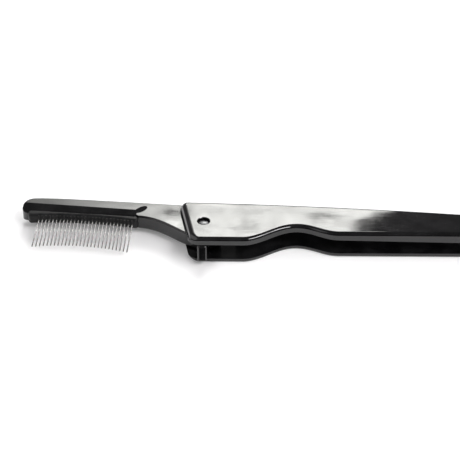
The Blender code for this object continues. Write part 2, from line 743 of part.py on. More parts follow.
def make_carrier(group, cutters, plastic):
    half = CARRIER_HEIGHT / 2
    low = PARTING - half
    high = PARTING + half
    mesh = extruded("tooth_carrier", carrier_outline(SEAT_GAP), low, high)
    round_loop(mesh, low, even_weight)
    round_loop(mesh, high, even_weight)
    carrier = place("tooth_carrier", mesh, group, plastic)
    round_edges(carrier, CARRIER_EDGE_RADIUS)
    tongue_half = TONGUE_HEIGHT / 2
    tongue_mesh = extruded(
        "tongue", tongue_outline(0), PARTING - tongue_half, PARTING + tongue_half
    )
    combine(carrier, helper("tongue", tongue_mesh, cutters), "UNION")
    for number in range(TOOTH_COUNT):
        combine(carrier, hole_cutter(number, cutters))
    return carrier


def make_tooth(number, group, metal):
    root, reach = tooth_place(number)
    shoulder = reach - TIP_ROUND
    tip_radius = TOOTH_RADIUS - TIP_ROUND
    middle_radius = mix(tip_radius, TOOTH_RADIUS, math.sqrt(0.5))
    middle = shoulder + TIP_ROUND * math.sqrt(0.5)
    profile = [(0, reach), (tip_radius, reach), (middle_radius, middle)]
    profile += [(TOOTH_RADIUS, shoulder), (TOOTH_RADIUS, -TOOTH_SEAT), (0, -TOOTH_SEAT)]
    tooth = turned(f"tooth_{number + 1:02d}", profile, TOOTH_SIDES, group, metal)
    tooth.matrix_world = Matrix.Translation(PIVOT + root) @ tooth_turn()
    return tooth


def joint_empty(name, group):
    axis = bpy.data.objects.new(name, None)
    axis.location = PIVOT
    axis.empty_display_size = HUB_RADIUS
    group.objects.link(axis)
    return axis


def keep_parent(piece, parent):
    piece.parent = parent
    piece.matrix_parent_inverse = parent.matrix_world.inverted()


def main():
    clear_scene()
    comb = new_collection("folding_lash_comb")
    cutters = new_collection("cutters", hidden=True)
    gloss = (0.010, 0.010, 0.011)
    slot = slot_cutter(cutters)
    handle = [
        make_upper_shell(comb, cutters, slot, material("upper_shell_plastic", gloss, 0.12)),
        make_lower_shell(comb, cutters, slot, material("lower_shell_plastic", gloss, 0.14)),
        make_rivet(comb, material("rivet_black_metal", (0.02, 0.02, 0.02), 0.2, 0.9)),
        make_rivet_cap(comb, material("rivet_cap_metal", (0.03, 0.03, 0.03), 0.3, 0.9)),
    ]
    moving = [make_arm(comb, cutters, material("arm_plastic", gloss, 0.14))]
    dull = material("carrier_plastic", (0.018, 0.018, 0.018), 0.45)
    moving.append(make_carrier(comb, cutters, dull))
    steel = material("tooth_steel", (0.62, 0.61, 0.58), 0.22, 1.0)
    moving += [make_tooth(number, comb, steel) for number in range(TOOTH_COUNT)]
    handle_base = joint_empty("handle_base", comb)
    fold_axis = joint_empty("fold_axis", comb)
    bpy.context.view_layer.update()
    for piece in handle:
        keep_parent(piece, handle_base)
    for piece in moving:
        keep_parent(piece, fold_axis)


main()
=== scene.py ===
"""Folding lash comb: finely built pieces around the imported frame, a studio and a camera.

Outlines are drawn in plan about the pivot axis: +X runs to the handle's tail, +Y to its
spine, and z = 0 is the underside. Lengths are in metres. A reach is measured along X from
the pivot axis, a front towards -Y and a back or spine towards +Y.
"""

import math

import bmesh
import bpy
from mathutils import Matrix, Vector


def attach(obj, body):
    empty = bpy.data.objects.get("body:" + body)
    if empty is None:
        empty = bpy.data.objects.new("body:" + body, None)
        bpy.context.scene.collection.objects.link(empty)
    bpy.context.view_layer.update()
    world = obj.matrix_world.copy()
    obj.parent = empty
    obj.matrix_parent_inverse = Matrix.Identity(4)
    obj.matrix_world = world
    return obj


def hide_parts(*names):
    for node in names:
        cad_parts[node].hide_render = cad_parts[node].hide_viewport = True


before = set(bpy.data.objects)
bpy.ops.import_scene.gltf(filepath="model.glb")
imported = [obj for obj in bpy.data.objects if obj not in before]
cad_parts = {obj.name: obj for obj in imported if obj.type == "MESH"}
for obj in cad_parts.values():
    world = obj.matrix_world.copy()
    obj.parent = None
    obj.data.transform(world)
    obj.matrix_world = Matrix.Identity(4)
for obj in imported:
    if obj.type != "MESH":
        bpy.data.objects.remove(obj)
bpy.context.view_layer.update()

# Handle, in plan from the pivot axis
PIVOT = Vector((-0.0400, 0, 0))
TAIL_REACH = 0.0880
TAIL_RADIUS = 0.0042
TAIL_FRONT = 0.0067
TAIL_SPINE = 0.0023
END_BACK_REACH = 0.0074
END_BACK_RADIUS = 0.0023
END_FRONT_REACH = 0.0040
END_FRONT_RADIUS = 0.0034
END_FRONT = 0.0086
END_SPINE = 0.0102
SPINE_BOW = 0.0010
BULGE_FRONT = 0.0088
BULGE_REACH = 0.0110
CREST_FRONT = 0.0025
CREST_REACH = 0.0265
GRIP_FRONT = 0.0062
GRIP_REACH = 0.0385

# Handle, in height
HANDLE_THICKNESS = 0.0084
UPPER_CHEEK = 0.0022
LOWER_CHEEK = 0.0014
UPPER_EDGE_RADIUS = 0.0012
LOWER_EDGE_RADIUS = 0.0009
END_ROUND_START = 0.0012
END_ROUND_REACH = 0.0030
END_ROUND_SHARE = 1.7
PARTING_GAP = 0.0001

# Slot, stop post and locating pegs
WEB_THICKNESS = 0.0011
WEB_START_REACH = 0.0092
SLOT_END_REACH = 0.0810
SLOT_END_RADIUS = 0.0030
TAPER_REACH = 0.0300
UPPER_TAPER = 0.0010
LOWER_TAPER = 0.0002
STOP = (-0.0023, 0.0089)
STOP_RADIUS = 0.0009
STOP_GAP = 0.00025
PEG_RADIUS = 0.0009
PEG_HEIGHT = 0.0012
PEG_CLEARANCE = 0.00015
PEG_END_GAP = 0.0003
PEG_PAD_RADIUS = 0.0019
PEG_PAD_REACH = 0.0600
TAIL_PEG_INSET = 0.0037

# Pivot rivet
RIVET_HEAD_RADIUS = 0.00155
RIVET_HEAD_RIM = 0.00030
RIVET_HEAD_DOME = 0.00012
RIVET_HEAD_CHAMFER = 0.00025
RIVET_CHAMFER_SHARES = ((0.3, 0.35), (0.0, 1.1))
RIVET_HEAD_STEPS = 21
RIVET_RECESS_RADIUS = 0.0018
RIVET_RECESS_DEPTH = 0.0010
RIVET_RECESS_LIP = 0.00014
RIVET_SHANK_RADIUS = 0.00070
BARREL_RADIUS = 0.00125
BARREL_BORE_RADIUS = 0.00085
CAP_HEAD_RADIUS = 0.0021
CAP_HEAD_THICKNESS = 0.00055
CAP_HEAD_CHAMFER = 0.00010
CAP_RECESS_RADIUS = 0.0024
CAP_RECESS_DEPTH = 0.0008
BORE_CLEARANCE = 0.00020

# Comb arm
ARM_THICKNESS = 0.0044
ARM_EDGE_RADIUS = 0.0006
HUB_RADIUS = 0.0050
HUB_FRONT = 0.0044
FLIPPER_REACH = 0.01058
FLIPPER_LEFT = 0.00175
FLIPPER_RIGHT = 0.00110
FLIPPER_NOSE_RADIUS = 0.0008
FLIPPER_FILLET = 0.0016
FLIPPER_NOSE_TILT = math.radians(20)
SHOULDER_FOOT = 0.0076
SHOULDER_TOP = 0.0113
SHOULDER_RADIUS = 0.0008
NECK_REACH = 0.0187
NECK_FRONT = 0.0055
NECK_BEND_SHARES = ((0.425, 0.10), (0.66, 0.79))
HEAD_REACH = 0.0532
HEAD_BACK = 0.01533
HEAD_BACK_RADIUS = 0.0035
HEAD_FRONT = 0.00875
HEAD_FRONT_RADIUS = 0.0020
BACK_BEND_SHARES = ((0.98, 1.25), (0.81, 0.90))
SLOPE_LEFT_BACK = 0.0128
SLOPE_RIGHT_BACK = 0.0089
SLOPE_RIGHT_REACH = 0.0194
SLOPE_TILT = math.radians(12.5)
SCOOP = (-0.0185, 0.0091)
SCOOP_LENGTH = 0.0046
SCOOP_WIDTH = 0.0022
SCOOP_TILT = math.radians(13)
SCOOP_TURN = math.radians(44)

# Tooth carrier
CARRIER_LEFT_REACH = 0.0514
CARRIER_RIGHT_REACH = 0.0190
CARRIER_LEFT_BACK = 0.0097
CARRIER_RIGHT_BACK = 0.00645
CARRIER_LEFT_FRONT = 0.0071
CARRIER_RIGHT_FRONT = 0.0042
CARRIER_BOW = 0.0011
CARRIER_HEIGHT = 0.0033
CARRIER_EDGE_RADIUS = 0.00085
CARRIER_BACK_SHARE = 0.3
CARRIER_END_RADIUS = 0.0009
CARRIER_BACK_RADIUS = 0.0009
TONGUE_HEIGHT = 0.0016
TONGUE_DEPTH = 0.0020
TONGUE_INSET = 0.0016
SEAT_GAP = 0.0001

# Teeth, and the small moulded collars they leave the carrier through
TOOTH_COUNT = 27
TOOTH_RADIUS = 0.00022
TOOTH_TIP_RADIUS = 0.00017
TOOTH_TIP_ANGLES = (66, 44, 22, 0)
TOOTH_TAPER_SHARE = 0.55
TOOTH_SEAT = 0.0013
TOOTH_RISE = 0.0002
TOOTH_FIRST_REACH = 0.0481
TOOTH_LAST_REACH = 0.0208
TOOTH_LEAN = math.radians(5.0)
TOOTH_DROP = math.radians(8.3)
TOOTH_HOLE_CLEARANCE = 0.00007
TIP_LEFT = 0.0047
TIP_RIGHT = 0.0075
TIP_BOW = 0.0021
COLLAR_RADIUS = 0.00040
COLLAR_REACH = 0.00022
COLLAR_LIP = 0.00010
COLLAR_LIP_SHARE = 0.3
RIB_RADIUS = 0.00034
RIB_SINK = 0.00020
RIB_TOP_SHARE = 0.4

# How finely round shapes are cut, how far cutters run past what they cut, how near points
# are welded, and how upright a normal is on a level face
ARC_STEP = math.radians(4)
ARC_LEAST_STEPS = 3
OUTLINE_STEP = 0.0006
SPINE_STEP = 0.0032
CURVE_STEPS = 36
EDGE_SEGMENTS = 7
ROUND_SIDES = 64
TOOTH_SIDES = 14
COLLAR_SIDES = 28
OVERRUN = 0.0030
SINK = 0.0005
WELD = 0.000001
LEVEL_NORMAL = 0.5

# Shading: faces turned by less than the flat angle are one flat stretch. A wide stretch has
# a crease at any edge past the crease angle, a narrow one only past the smooth angle
FLAT_ANGLE = math.radians(0.15)
FLAT_WIDTH = 0.0006
CREASE_ANGLE = math.radians(5)
SMOOTH_ANGLE = math.radians(32)

PARTING = LOWER_CHEEK + (HANDLE_THICKNESS - UPPER_CHEEK - LOWER_CHEEK) / 2
SLOT_TOP = HANDLE_THICKNESS - UPPER_CHEEK
ARM_LOW = PARTING - ARM_THICKNESS / 2
ARM_HIGH = PARTING + ARM_THICKNESS / 2


# Outlines


def mix(first, second, share):
    return first + (second - first) * share


def arc(centre, radius, start, end):
    steps = max(ARC_LEAST_STEPS, math.ceil(abs(end - start) / ARC_STEP))
    angles = [mix(start, end, i / steps) for i in range(steps + 1)]
    return [(centre[0] + radius * math.cos(a), centre[1] + radius * math.sin(a)) for a in angles]


def corner_reach(before, at, after, radius):
    half = (Vector(before) - Vector(at)).angle(Vector(after) - Vector(at)) / 2
    return radius / math.tan(half)


def corner(before, at, after, radius):
    """The corner at a point between two straight lines, rounded to a radius."""
    here = Vector(at)
    inward = (Vector(before) - here).normalized()
    outward = (Vector(after) - here).normalized()
    reach = corner_reach(before, at, after, radius)
    centre = here + (inward + outward).normalized() * math.hypot(reach, radius)
    start = here + inward * reach - centre
    end = here + outward * reach - centre
    begin = math.atan2(start.y, start.x)
    turn = math.atan2(start.x * end.y - start.y * end.x, start.dot(end))
    return arc(centre, radius, begin, begin + turn)


def end_in_corner(path, after, radius):
    """A path whose last point becomes a rounded corner, with what is too near it left out."""
    *kept, at = path
    while len(kept) > 1 and math.dist(kept[-1], at) < corner_reach(kept[-1], at, after, radius):
        kept.pop()
    return kept + corner(kept[-1], at, after, radius)


def bezier(start, bend_shares, end):
    """A curve between two points. Its bends are shares of the way along and across."""
    handles = [
        (mix(start[0], end[0], along), mix(start[1], end[1], across))
        for along, across in bend_shares
    ]
    points = []
    for i in range(CURVE_STEPS + 1):
        t = i / CURVE_STEPS
        weights = ((1 - t) ** 3, 3 * t * (1 - t) ** 2, 3 * t * t * (1 - t), t**3)
        knots = (start, handles[0], handles[1], end)
        points.append(tuple(sum(w * k[axis] for w, k in zip(weights, knots)) for axis in (0, 1)))
    return points


def bowed(left, right, bow, share):
    """A value that runs from left to right with a bow, which is greatest halfway."""
    return mix(left, right, share) + bow * 4 * share * (1 - share)


def spine_y(x):
    share = (x + END_BACK_REACH) / (TAIL_REACH + END_BACK_REACH)
    return bowed(END_SPINE, TAIL_SPINE, SPINE_BOW, share)


def front_y(x):
    """The handle's front edge: bulge at the pivot, finger notch, then the long grip."""
    if x <= BULGE_REACH:
        return -BULGE_FRONT
    if x <= CREST_REACH:
        share = (x - BULGE_REACH) / (CREST_REACH - BULGE_REACH)
        return -mix(BULGE_FRONT, CREST_FRONT, (1 - math.cos(math.pi * share)) / 2)
    if x <= GRIP_REACH:
        share = (x - CREST_REACH) / (GRIP_REACH - CREST_REACH)
        return -mix(CREST_FRONT, GRIP_FRONT, (1 - math.cos(math.pi * share)) / 2)
    return -mix(GRIP_FRONT, TAIL_FRONT, (x - GRIP_REACH) / (TAIL_REACH - GRIP_REACH))


def stations(start, end, step):
    """Even places from start to end, about a step apart."""
    count = max(1, round(abs(end - start) / step))
    return [mix(start, end, i / count) for i in range(count + 1)]


def handle_outline():
    back_left = (-END_BACK_REACH, END_SPINE)
    front_left = (-END_FRONT_REACH, -END_FRONT)
    front_tail = (TAIL_REACH, -TAIL_FRONT)
    back_tail = (TAIL_REACH, TAIL_SPINE)
    spine_start = (BULGE_REACH, spine_y(BULGE_REACH))
    spine_end = (TAIL_REACH - TAIL_RADIUS, spine_y(TAIL_REACH - TAIL_RADIUS))
    outline = corner(back_left, front_left, (BULGE_REACH, -BULGE_FRONT), END_FRONT_RADIUS)
    outline += [(x, front_y(x)) for x in stations(BULGE_REACH, GRIP_REACH, OUTLINE_STEP)]
    outline += corner((GRIP_REACH, -GRIP_FRONT), front_tail, back_tail, TAIL_RADIUS)
    outline += corner(front_tail, back_tail, spine_end, TAIL_RADIUS)
    places = stations(TAIL_REACH - 2 * TAIL_RADIUS, BULGE_REACH, SPINE_STEP)
    outline += [(x, spine_y(x)) for x in places]
    return outline + corner(spine_start, back_left, front_left, END_BACK_RADIUS)


def slot_outline():
    left = -END_BACK_REACH - OVERRUN
    back = END_SPINE + OVERRUN
    front = -BULGE_FRONT - OVERRUN
    end_back = (SLOT_END_REACH, spine_y(SLOT_END_REACH) - WEB_THICKNESS)
    places = stations(SLOT_END_REACH - SLOT_END_RADIUS, WEB_START_REACH, SPINE_STEP)
    web = [(x, spine_y(x) - WEB_THICKNESS) for x in places]
    outline = [(left, front), (SLOT_END_REACH, front)]
    outline += corner((SLOT_END_REACH, front), end_back, web[0], SLOT_END_RADIUS)
    return outline + web[1:] + [(WEB_START_REACH, back), (left, back)]


def head_back_y(share):
    return mix(CARRIER_LEFT_BACK, CARRIER_RIGHT_BACK, share)


def arm_outline():
    shoulder_x = STOP[0] - STOP_RADIUS - STOP_GAP
    tip_back = (-HEAD_REACH, HEAD_BACK)
    tip_front = (-HEAD_REACH, HEAD_FRONT)
    neck_start = (-NECK_REACH, NECK_FRONT)
    shoulder_top = (shoulder_x, SHOULDER_TOP)
    shoulder_foot = (shoulder_x, SHOULDER_FOOT)
    nose_left = (-FLIPPER_LEFT, -FLIPPER_REACH)
    nose_right = (FLIPPER_RIGHT, -FLIPPER_REACH)
    flipper_root = (-FLIPPER_LEFT, -HUB_FRONT)
    fillet_x = FLIPPER_RIGHT + FLIPPER_FILLET
    fillet_y = -math.sqrt((HUB_RADIUS + FLIPPER_FILLET) ** 2 - fillet_x**2)
    fillet_turn = math.atan2(-fillet_y, -fillet_x)
    hub_start = math.atan2(fillet_y, fillet_x)
    foot_distance = math.hypot(shoulder_x, SHOULDER_FOOT)
    hub_end = math.atan2(SHOULDER_FOOT, shoulder_x) - math.acos(HUB_RADIUS / foot_distance)
    outline = bezier(neck_start, NECK_BEND_SHARES, flipper_root)
    outline += corner(flipper_root, nose_left, nose_right, FLIPPER_NOSE_RADIUS)
    outline += corner(nose_left, nose_right, (FLIPPER_RIGHT, 0), FLIPPER_NOSE_RADIUS)
    outline += arc((fillet_x, fillet_y), FLIPPER_FILLET, math.pi, fillet_turn)
    outline += arc((0, 0), HUB_RADIUS, hub_start, hub_end)[1:]
    outline.append(shoulder_foot)
    back = bezier(shoulder_top, BACK_BEND_SHARES, tip_back)
    outline += corner(shoulder_foot, shoulder_top, back[1], SHOULDER_RADIUS)
    outline += end_in_corner(back[1:], tip_front, HEAD_BACK_RADIUS)
    return outline + corner(tip_back, tip_front, neck_start, HEAD_FRONT_RADIUS)


def carrier_front_y(share):
    return bowed(CARRIER_LEFT_FRONT, CARRIER_RIGHT_FRONT, CARRIER_BOW, share)


def carrier_share(x):
    return (x + CARRIER_LEFT_REACH) / (CARRIER_LEFT_REACH - CARRIER_RIGHT_REACH)


def carrier_outline(gap):
    left = -CARRIER_LEFT_REACH + gap
    right = -CARRIER_RIGHT_REACH - gap
    places = stations(left + CARRIER_END_RADIUS, right - CARRIER_END_RADIUS, OUTLINE_STEP)
    front = [(x, carrier_front_y(carrier_share(x))) for x in places]
    front_left = (left, carrier_front_y(0))
    front_right = (right, carrier_front_y(1))
    back_left = (left, head_back_y(0) - gap)
    back_right = (right, head_back_y(1) - gap)
    outline = corner(back_left, front_left, front[1], CARRIER_END_RADIUS)
    outline += front[1:-1]
    outline += corner(front[-2], front_right, back_right, CARRIER_END_RADIUS)
    outline += corner(front_right, back_right, back_left, CARRIER_BACK_RADIUS)
    return outline + corner(back_right, back_left, front_left, CARRIER_BACK_RADIUS)


def seat_outline():
    front = min(NECK_FRONT, CARRIER_RIGHT_FRONT) - OVERRUN
    front_left = (-CARRIER_LEFT_REACH, front)
    front_right = (-CARRIER_RIGHT_REACH, front)
    back_right = (-CARRIER_RIGHT_REACH, head_back_y(1))
    back_left = (-CARRIER_LEFT_REACH, head_back_y(0))
    outline = [front_left, front_right]
    outline += corner(front_right, back_right, back_left, CARRIER_BACK_RADIUS)
    return outline + corner(back_right, back_left, front_left, CARRIER_BACK_RADIUS)


def tongue_outline(gap):
    left = -CARRIER_LEFT_REACH + TONGUE_INSET
    right = -CARRIER_RIGHT_REACH - TONGUE_INSET
    low_left = head_back_y(carrier_share(left))
    low_right = head_back_y(carrier_share(right))
    return [
        (left - gap, low_left - SINK),
        (right + gap, low_right - SINK),
        (right + gap, low_right + TONGUE_DEPTH + gap),
        (left - gap, low_left + TONGUE_DEPTH + gap),
    ]


# Meshes


def opened(mesh):
    """A mesh as a shape that can be edited."""
    shape = bmesh.new()
    shape.from_mesh(mesh)
    return shape


def written(shape, mesh):
    """The mesh that a shape has been written to. The shape is freed."""
    shape.to_mesh(mesh)
    shape.free()
    return mesh


def extruded(name, outline, low, high):
    """The mesh of a flat outline between two heights, with a one-piece face on each end."""
    curve = bpy.data.curves.new(name, "CURVE")
    curve.dimensions = "2D"
    curve.fill_mode = "BOTH"
    curve.extrude = (high - low) / 2
    spline = curve.splines.new("POLY")
    spline.points.add(len(outline) - 1)
    for knot, (x, y) in zip(spline.points, outline):
        knot.co = (x, y, 0, 1)
    spline.use_cyclic_u = True
    guide = place(name, curve)
    graph = bpy.context.evaluated_depsgraph_get()
    mesh = bpy.data.meshes.new_from_object(guide.evaluated_get(graph))
    bpy.data.objects.remove(guide, do_unlink=True)
    bpy.data.curves.remove(curve)
    shape = opened(mesh)
    bmesh.ops.remove_doubles(shape, verts=shape.verts, dist=WELD)
    bmesh.ops.translate(shape, verts=shape.verts, vec=(0, 0, (low + high) / 2))
    bmesh.ops.recalc_face_normals(shape, faces=shape.faces)
    caps = {face for face in shape.faces if abs(face.normal.z) > LEVEL_NORMAL}
    inner = [edge for edge in shape.edges if caps.issuperset(edge.link_faces)]
    bmesh.ops.dissolve_edges(shape, edges=inner, use_verts=False)
    return written(shape, mesh)


def mark_rims(mesh, heights):
    """Gives the outline's edges at some heights the weight that round_edges goes by."""
    shape = opened(mesh)
    layer = shape.edges.layers.float.new("bevel_weight_edge")
    for edge in shape.edges:
        for height in heights:
            if all(abs(vert.co.z - height) < WELD for vert in edge.verts):
                edge[layer] = 1.0
    written(shape, mesh)


def rim_rings(outline, height, side, radius_at):
    """The outline's copies over a rounded rim, from the wall to the flat.

    Side is 1 for an upper rim and -1 for a lower one.
    """
    points = [Vector(point) for point in outline]
    count = len(points)
    turned_left = sum(a.x * b.y - b.x * a.y for a, b in zip(points, points[1:] + points[:1])) > 0
    quarter = Matrix.Rotation(math.pi / 2 if turned_left else -math.pi / 2, 2)
    inward = []
    for i, point in enumerate(points):
        before = (quarter @ (point - points[i - 1])).normalized()
        after = (quarter @ (points[(i + 1) % count] - point)).normalized()
        middle = (before + after).normalized()
        inward.append(middle / middle.dot(after))
    rings = []
    for step in range(EDGE_SEGMENTS + 1):
        angle = math.pi / 2 * step / EDGE_SEGMENTS
        ring = []
        for point, way in zip(points, inward):
            radius = radius_at(point)
            moved = point + way * radius * (1 - math.cos(angle))
            ring.append((moved.x, moved.y, height - side * radius * (1 - math.sin(angle))))
        rings.append(ring)
    return rings


def lofted(name, rings):
    """A closed mesh through rings of equally many points, capped at both ends."""
    shape = bmesh.new()
    made = [[shape.verts.new(point) for point in ring] for ring in rings]
    for ring, following in zip(made, made[1:]):
        for i in range(len(ring)):
            shape.faces.new((ring[i - 1], ring[i], following[i], following[i - 1]))
    shape.faces.new(made[0])
    shape.faces.new(made[-1])
    bmesh.ops.recalc_face_normals(shape, faces=shape.faces)
    return written(shape, bpy.data.meshes.new(name))


def cylinder(name, radius, low, high, centre=(0, 0), sides=ROUND_SIDES, top_radius=None):
    shape = bmesh.new()
    bmesh.ops.create_cone(
        shape, cap_ends=True, segments=sides, radius1=radius,
        radius2=radius if top_radius is None else top_radius,
        depth=high - low, matrix=Matrix.Translation((centre[0], centre[1], (low + high) / 2)),
    )
    return written(shape, bpy.data.meshes.new(name))


def turned(name, profile, sides):
    """A turned mesh: its profile runs down the outside, from the top of the axis to the foot."""
    shape = bmesh.new()
    verts = [shape.verts.new((radius, 0, height)) for radius, height in profile]
    edges = [shape.edges.new(pair) for pair in zip(verts, verts[1:])]
    bmesh.ops.spin(
        shape, geom=verts + edges, axis=(0, 0, 1), cent=(0, 0, 0),
        angle=2 * math.pi, steps=sides, use_merge=False,
    )
    bmesh.ops.remove_doubles(shape, verts=shape.verts, dist=WELD)
    bmesh.ops.recalc_face_normals(shape, faces=shape.faces)
    return written(shape, bpy.data.meshes.new(name))


def joined(name, meshes):
    """One mesh of several, which are used up."""
    shape = bmesh.new()
    for part in meshes:
        shape.from_mesh(part)
        bpy.data.meshes.remove(part)
    return written(shape, bpy.data.meshes.new(name))


def place(name, data):
    """A new object, put in the scene."""
    thing = bpy.data.objects.new(name, data)
    bpy.context.scene.collection.objects.link(thing)
    return thing


def combine(piece, mesh, operation="DIFFERENCE"):
    """Adds a Boolean step; its helper goes once the steps are baked in by baked()."""
    other = place(mesh.name, mesh)
    modifier = piece.modifiers.new(other.name, "BOOLEAN")
    modifier.operation = operation
    modifier.solver = "EXACT"
    modifier.object = other


def round_edges(piece, radius):
    """Rounds the edges that mark_rims has marked."""
    bevel = piece.modifiers.new("edges", "BEVEL")
    bevel.limit_method = "WEIGHT"
    bevel.width = radius
    bevel.segments = EDGE_SEGMENTS
    bevel.use_clamp_overlap = False


def baked(piece):
    """Turns a piece's steps into its own mesh and takes the helpers away."""
    helpers = [m.object for m in piece.modifiers if m.type == "BOOLEAN"]
    graph = bpy.context.evaluated_depsgraph_get()
    mesh = bpy.data.meshes.new_from_object(piece.evaluated_get(graph))
    piece.modifiers.clear()
    piece.data = mesh
    for other in helpers:
        bpy.data.objects.remove(other, do_unlink=True)
    shape = opened(mesh)
    bmesh.ops.remove_doubles(shape, verts=shape.verts, dist=WELD)
    written(shape, mesh)
    return piece


# Shading


def face_turn(edge):
    """The angle between an edge's two faces."""
    first, second = edge.link_faces
    return first.normal.angle(second.normal, 0)


def flat_groups(shape):
    """The flat stretch that each face belongs to, and each stretch's area and width."""
    group_of = {}
    areas = []
    widths = []
    for seed in shape.faces:
        if seed in group_of:
            continue
        number = len(areas)
        group_of[seed] = number
        members = [seed]
        for face in members:
            for edge in face.edges:
                if len(edge.link_faces) != 2 or face_turn(edge) > FLAT_ANGLE:
                    continue
                for other in edge.link_faces:
                    if other not in group_of:
                        group_of[other] = number
                        members.append(other)
        area = sum(face.calc_area() for face in members)
        rim = sum(
            edge.calc_length() for face in members for edge in face.edges
            if any(group_of.get(other) != number for other in edge.link_faces)
        )
        areas.append(area)
        widths.append(2 * area / rim if rim else math.inf)
    return group_of, areas, widths


def corner_fans(vert, sharp):
    """The corners round a vertex, in sets that no sharp edge parts."""
    left = set(vert.link_loops)
    fans = []
    while left:
        fan = [left.pop()]
        for loop in fan:
            for edge in (loop.edge, loop.link_loop_prev.edge):
                if edge in sharp:
                    continue
                for other in vert.link_loops:
                    if other in left and edge in (other.edge, other.link_loop_prev.edge):
                        left.remove(other)
                        fan.append(other)
        fans.append(fan)
    return fans


def shade_evenly(mesh):
    """Sets the normals so that a flat stretch stays flat to its rim and edges stay crisp."""
    shape = opened(mesh)
    shape.normal_update()
    group_of, areas, widths = flat_groups(shape)
    sharp = set()
    for edge in shape.edges:
        wide = all(widths[group_of[face]] > FLAT_WIDTH for face in edge.link_faces)
        if len(edge.link_faces) != 2 or face_turn(edge) > (CREASE_ANGLE if wide else SMOOTH_ANGLE):
            sharp.add(edge)
        edge.smooth = edge not in sharp
    normals = {}
    for vert in shape.verts:
        for fan in corner_fans(vert, sharp):
            total = Vector()
            for loop in fan:
                total += loop.face.normal * areas[group_of[loop.face]] * loop.calc_angle()
            for loop in fan:
                normals[loop] = total.normalized()
    corner_normals = [normals[loop] for face in shape.faces for loop in face.loops]
    written(shape, mesh)
    mesh.normals_split_custom_set(corner_normals)


# Pieces


def finish_piece(piece, body, nodes, material):
    """Settles a piece: its place, shading, material, body and the nodes it stands for."""
    mesh = piece.data
    mesh.materials.clear()
    mesh.materials.append(material)
    mesh.shade_smooth()
    shade_evenly(mesh)
    piece.matrix_world = Matrix.Translation(PIVOT) @ piece.matrix_world
    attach(piece, body)
    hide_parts(*nodes)
    return piece


def eased(share):
    """A share from 0 to 1 with a soft start and end."""
    held = min(1, max(0, share))
    return held * held * (3 - 2 * held)


def rim_gain(point):
    """Rims are rounder across the mouth end of the handle than along its length."""
    along = eased((-point.x - END_ROUND_START) / END_ROUND_REACH)
    across = eased((END_SPINE - point.y) / END_BACK_RADIUS)
    return mix(1, END_ROUND_SHARE, along * across)


def carrier_rim_radius(point):
    """The carrier is rounder along its front than along its back."""
    share = carrier_share(point.x)
    front = carrier_front_y(share)
    depth = head_back_y(share) - front
    return CARRIER_EDGE_RADIUS * mix(1, CARRIER_BACK_SHARE, eased((point.y - front) / depth))


def slot_cutter():
    """The slot's block, which narrows towards the tail from the taper's start on."""
    mesh = extruded("slot", slot_outline(), LOWER_CHEEK, SLOT_TOP)
    shape = opened(mesh)
    everything = shape.verts[:] + shape.edges[:] + shape.faces[:]
    bmesh.ops.bisect_plane(
        shape, geom=everything, plane_co=(TAPER_REACH, 0, 0), plane_no=(1, 0, 0)
    )
    for vert in shape.verts:
        share = max(0, vert.co.x - TAPER_REACH) / (SLOT_END_REACH - TAPER_REACH)
        vert.co.z += LOWER_TAPER * share if vert.co.z < PARTING else -UPPER_TAPER * share
    return written(shape, mesh)


def peg_centres():
    """One locating peg stands on the pad along the spine, the other near the tail."""
    pad = (PEG_PAD_REACH, spine_y(PEG_PAD_REACH) - WEB_THICKNESS / 2 - PEG_PAD_RADIUS)
    return pad, (TAIL_REACH - TAIL_PEG_INSET, (TAIL_SPINE - TAIL_FRONT) / 2)


def start_shell(name, parting, face, side, edge_radius):
    """A shell from its parting face to its outer face, slotted, with its posts in the slot."""
    outline = handle_outline()
    rings = [[(x, y, parting) for x, y in outline]]
    rings += rim_rings(outline, face, side, lambda point: edge_radius * rim_gain(point))
    shell = place(f"{name}_shell_dressed", lofted(name, rings))
    combine(shell, slot_cutter())
    low, high = (parting, SLOT_TOP + SINK) if side > 0 else (LOWER_CHEEK - SINK, parting)
    for radius, centre in ((STOP_RADIUS, STOP), (PEG_PAD_RADIUS, peg_centres()[0])):
        combine(shell, cylinder("post", radius, low, high, centre), "UNION")
    return shell


def make_upper_shell():
    parting = PARTING + PARTING_GAP / 2
    shell = start_shell("upper", parting, HANDLE_THICKNESS, 1, UPPER_EDGE_RADIUS)
    floor = HANDLE_THICKNESS - RIVET_RECESS_DEPTH
    above = HANDLE_THICKNESS + OVERRUN
    combine(shell, cylinder("recess", RIVET_RECESS_RADIUS, floor, above))
    flare = RIVET_RECESS_RADIUS + RIVET_RECESS_LIP + OVERRUN
    lip_low = HANDLE_THICKNESS - RIVET_RECESS_LIP
    combine(shell, cylinder("lip", RIVET_RECESS_RADIUS, lip_low, above, top_radius=flare))
    combine(shell, cylinder("bore", BARREL_RADIUS + BORE_CLEARANCE, PARTING, floor + SINK))
    socket_high = PARTING + PEG_HEIGHT + PEG_END_GAP
    for centre in peg_centres():
        radius = PEG_RADIUS + PEG_CLEARANCE
        combine(shell, cylinder("socket", radius, PARTING - SINK, socket_high, centre))
    return baked(shell)


def make_lower_shell():
    parting = PARTING - PARTING_GAP / 2
    shell = start_shell("lower", parting, 0, -1, LOWER_EDGE_RADIUS)
    for centre in peg_centres():
        peg = cylinder("peg", PEG_RADIUS, parting - SINK, PARTING + PEG_HEIGHT, centre)
        combine(shell, peg, "UNION")
    combine(shell, cylinder("recess", CAP_RECESS_RADIUS, -OVERRUN, CAP_RECESS_DEPTH))
    bore = BARREL_RADIUS + BORE_CLEARANCE
    combine(shell, cylinder("bore", bore, CAP_RECESS_DEPTH - SINK, PARTING))
    return baked(shell)


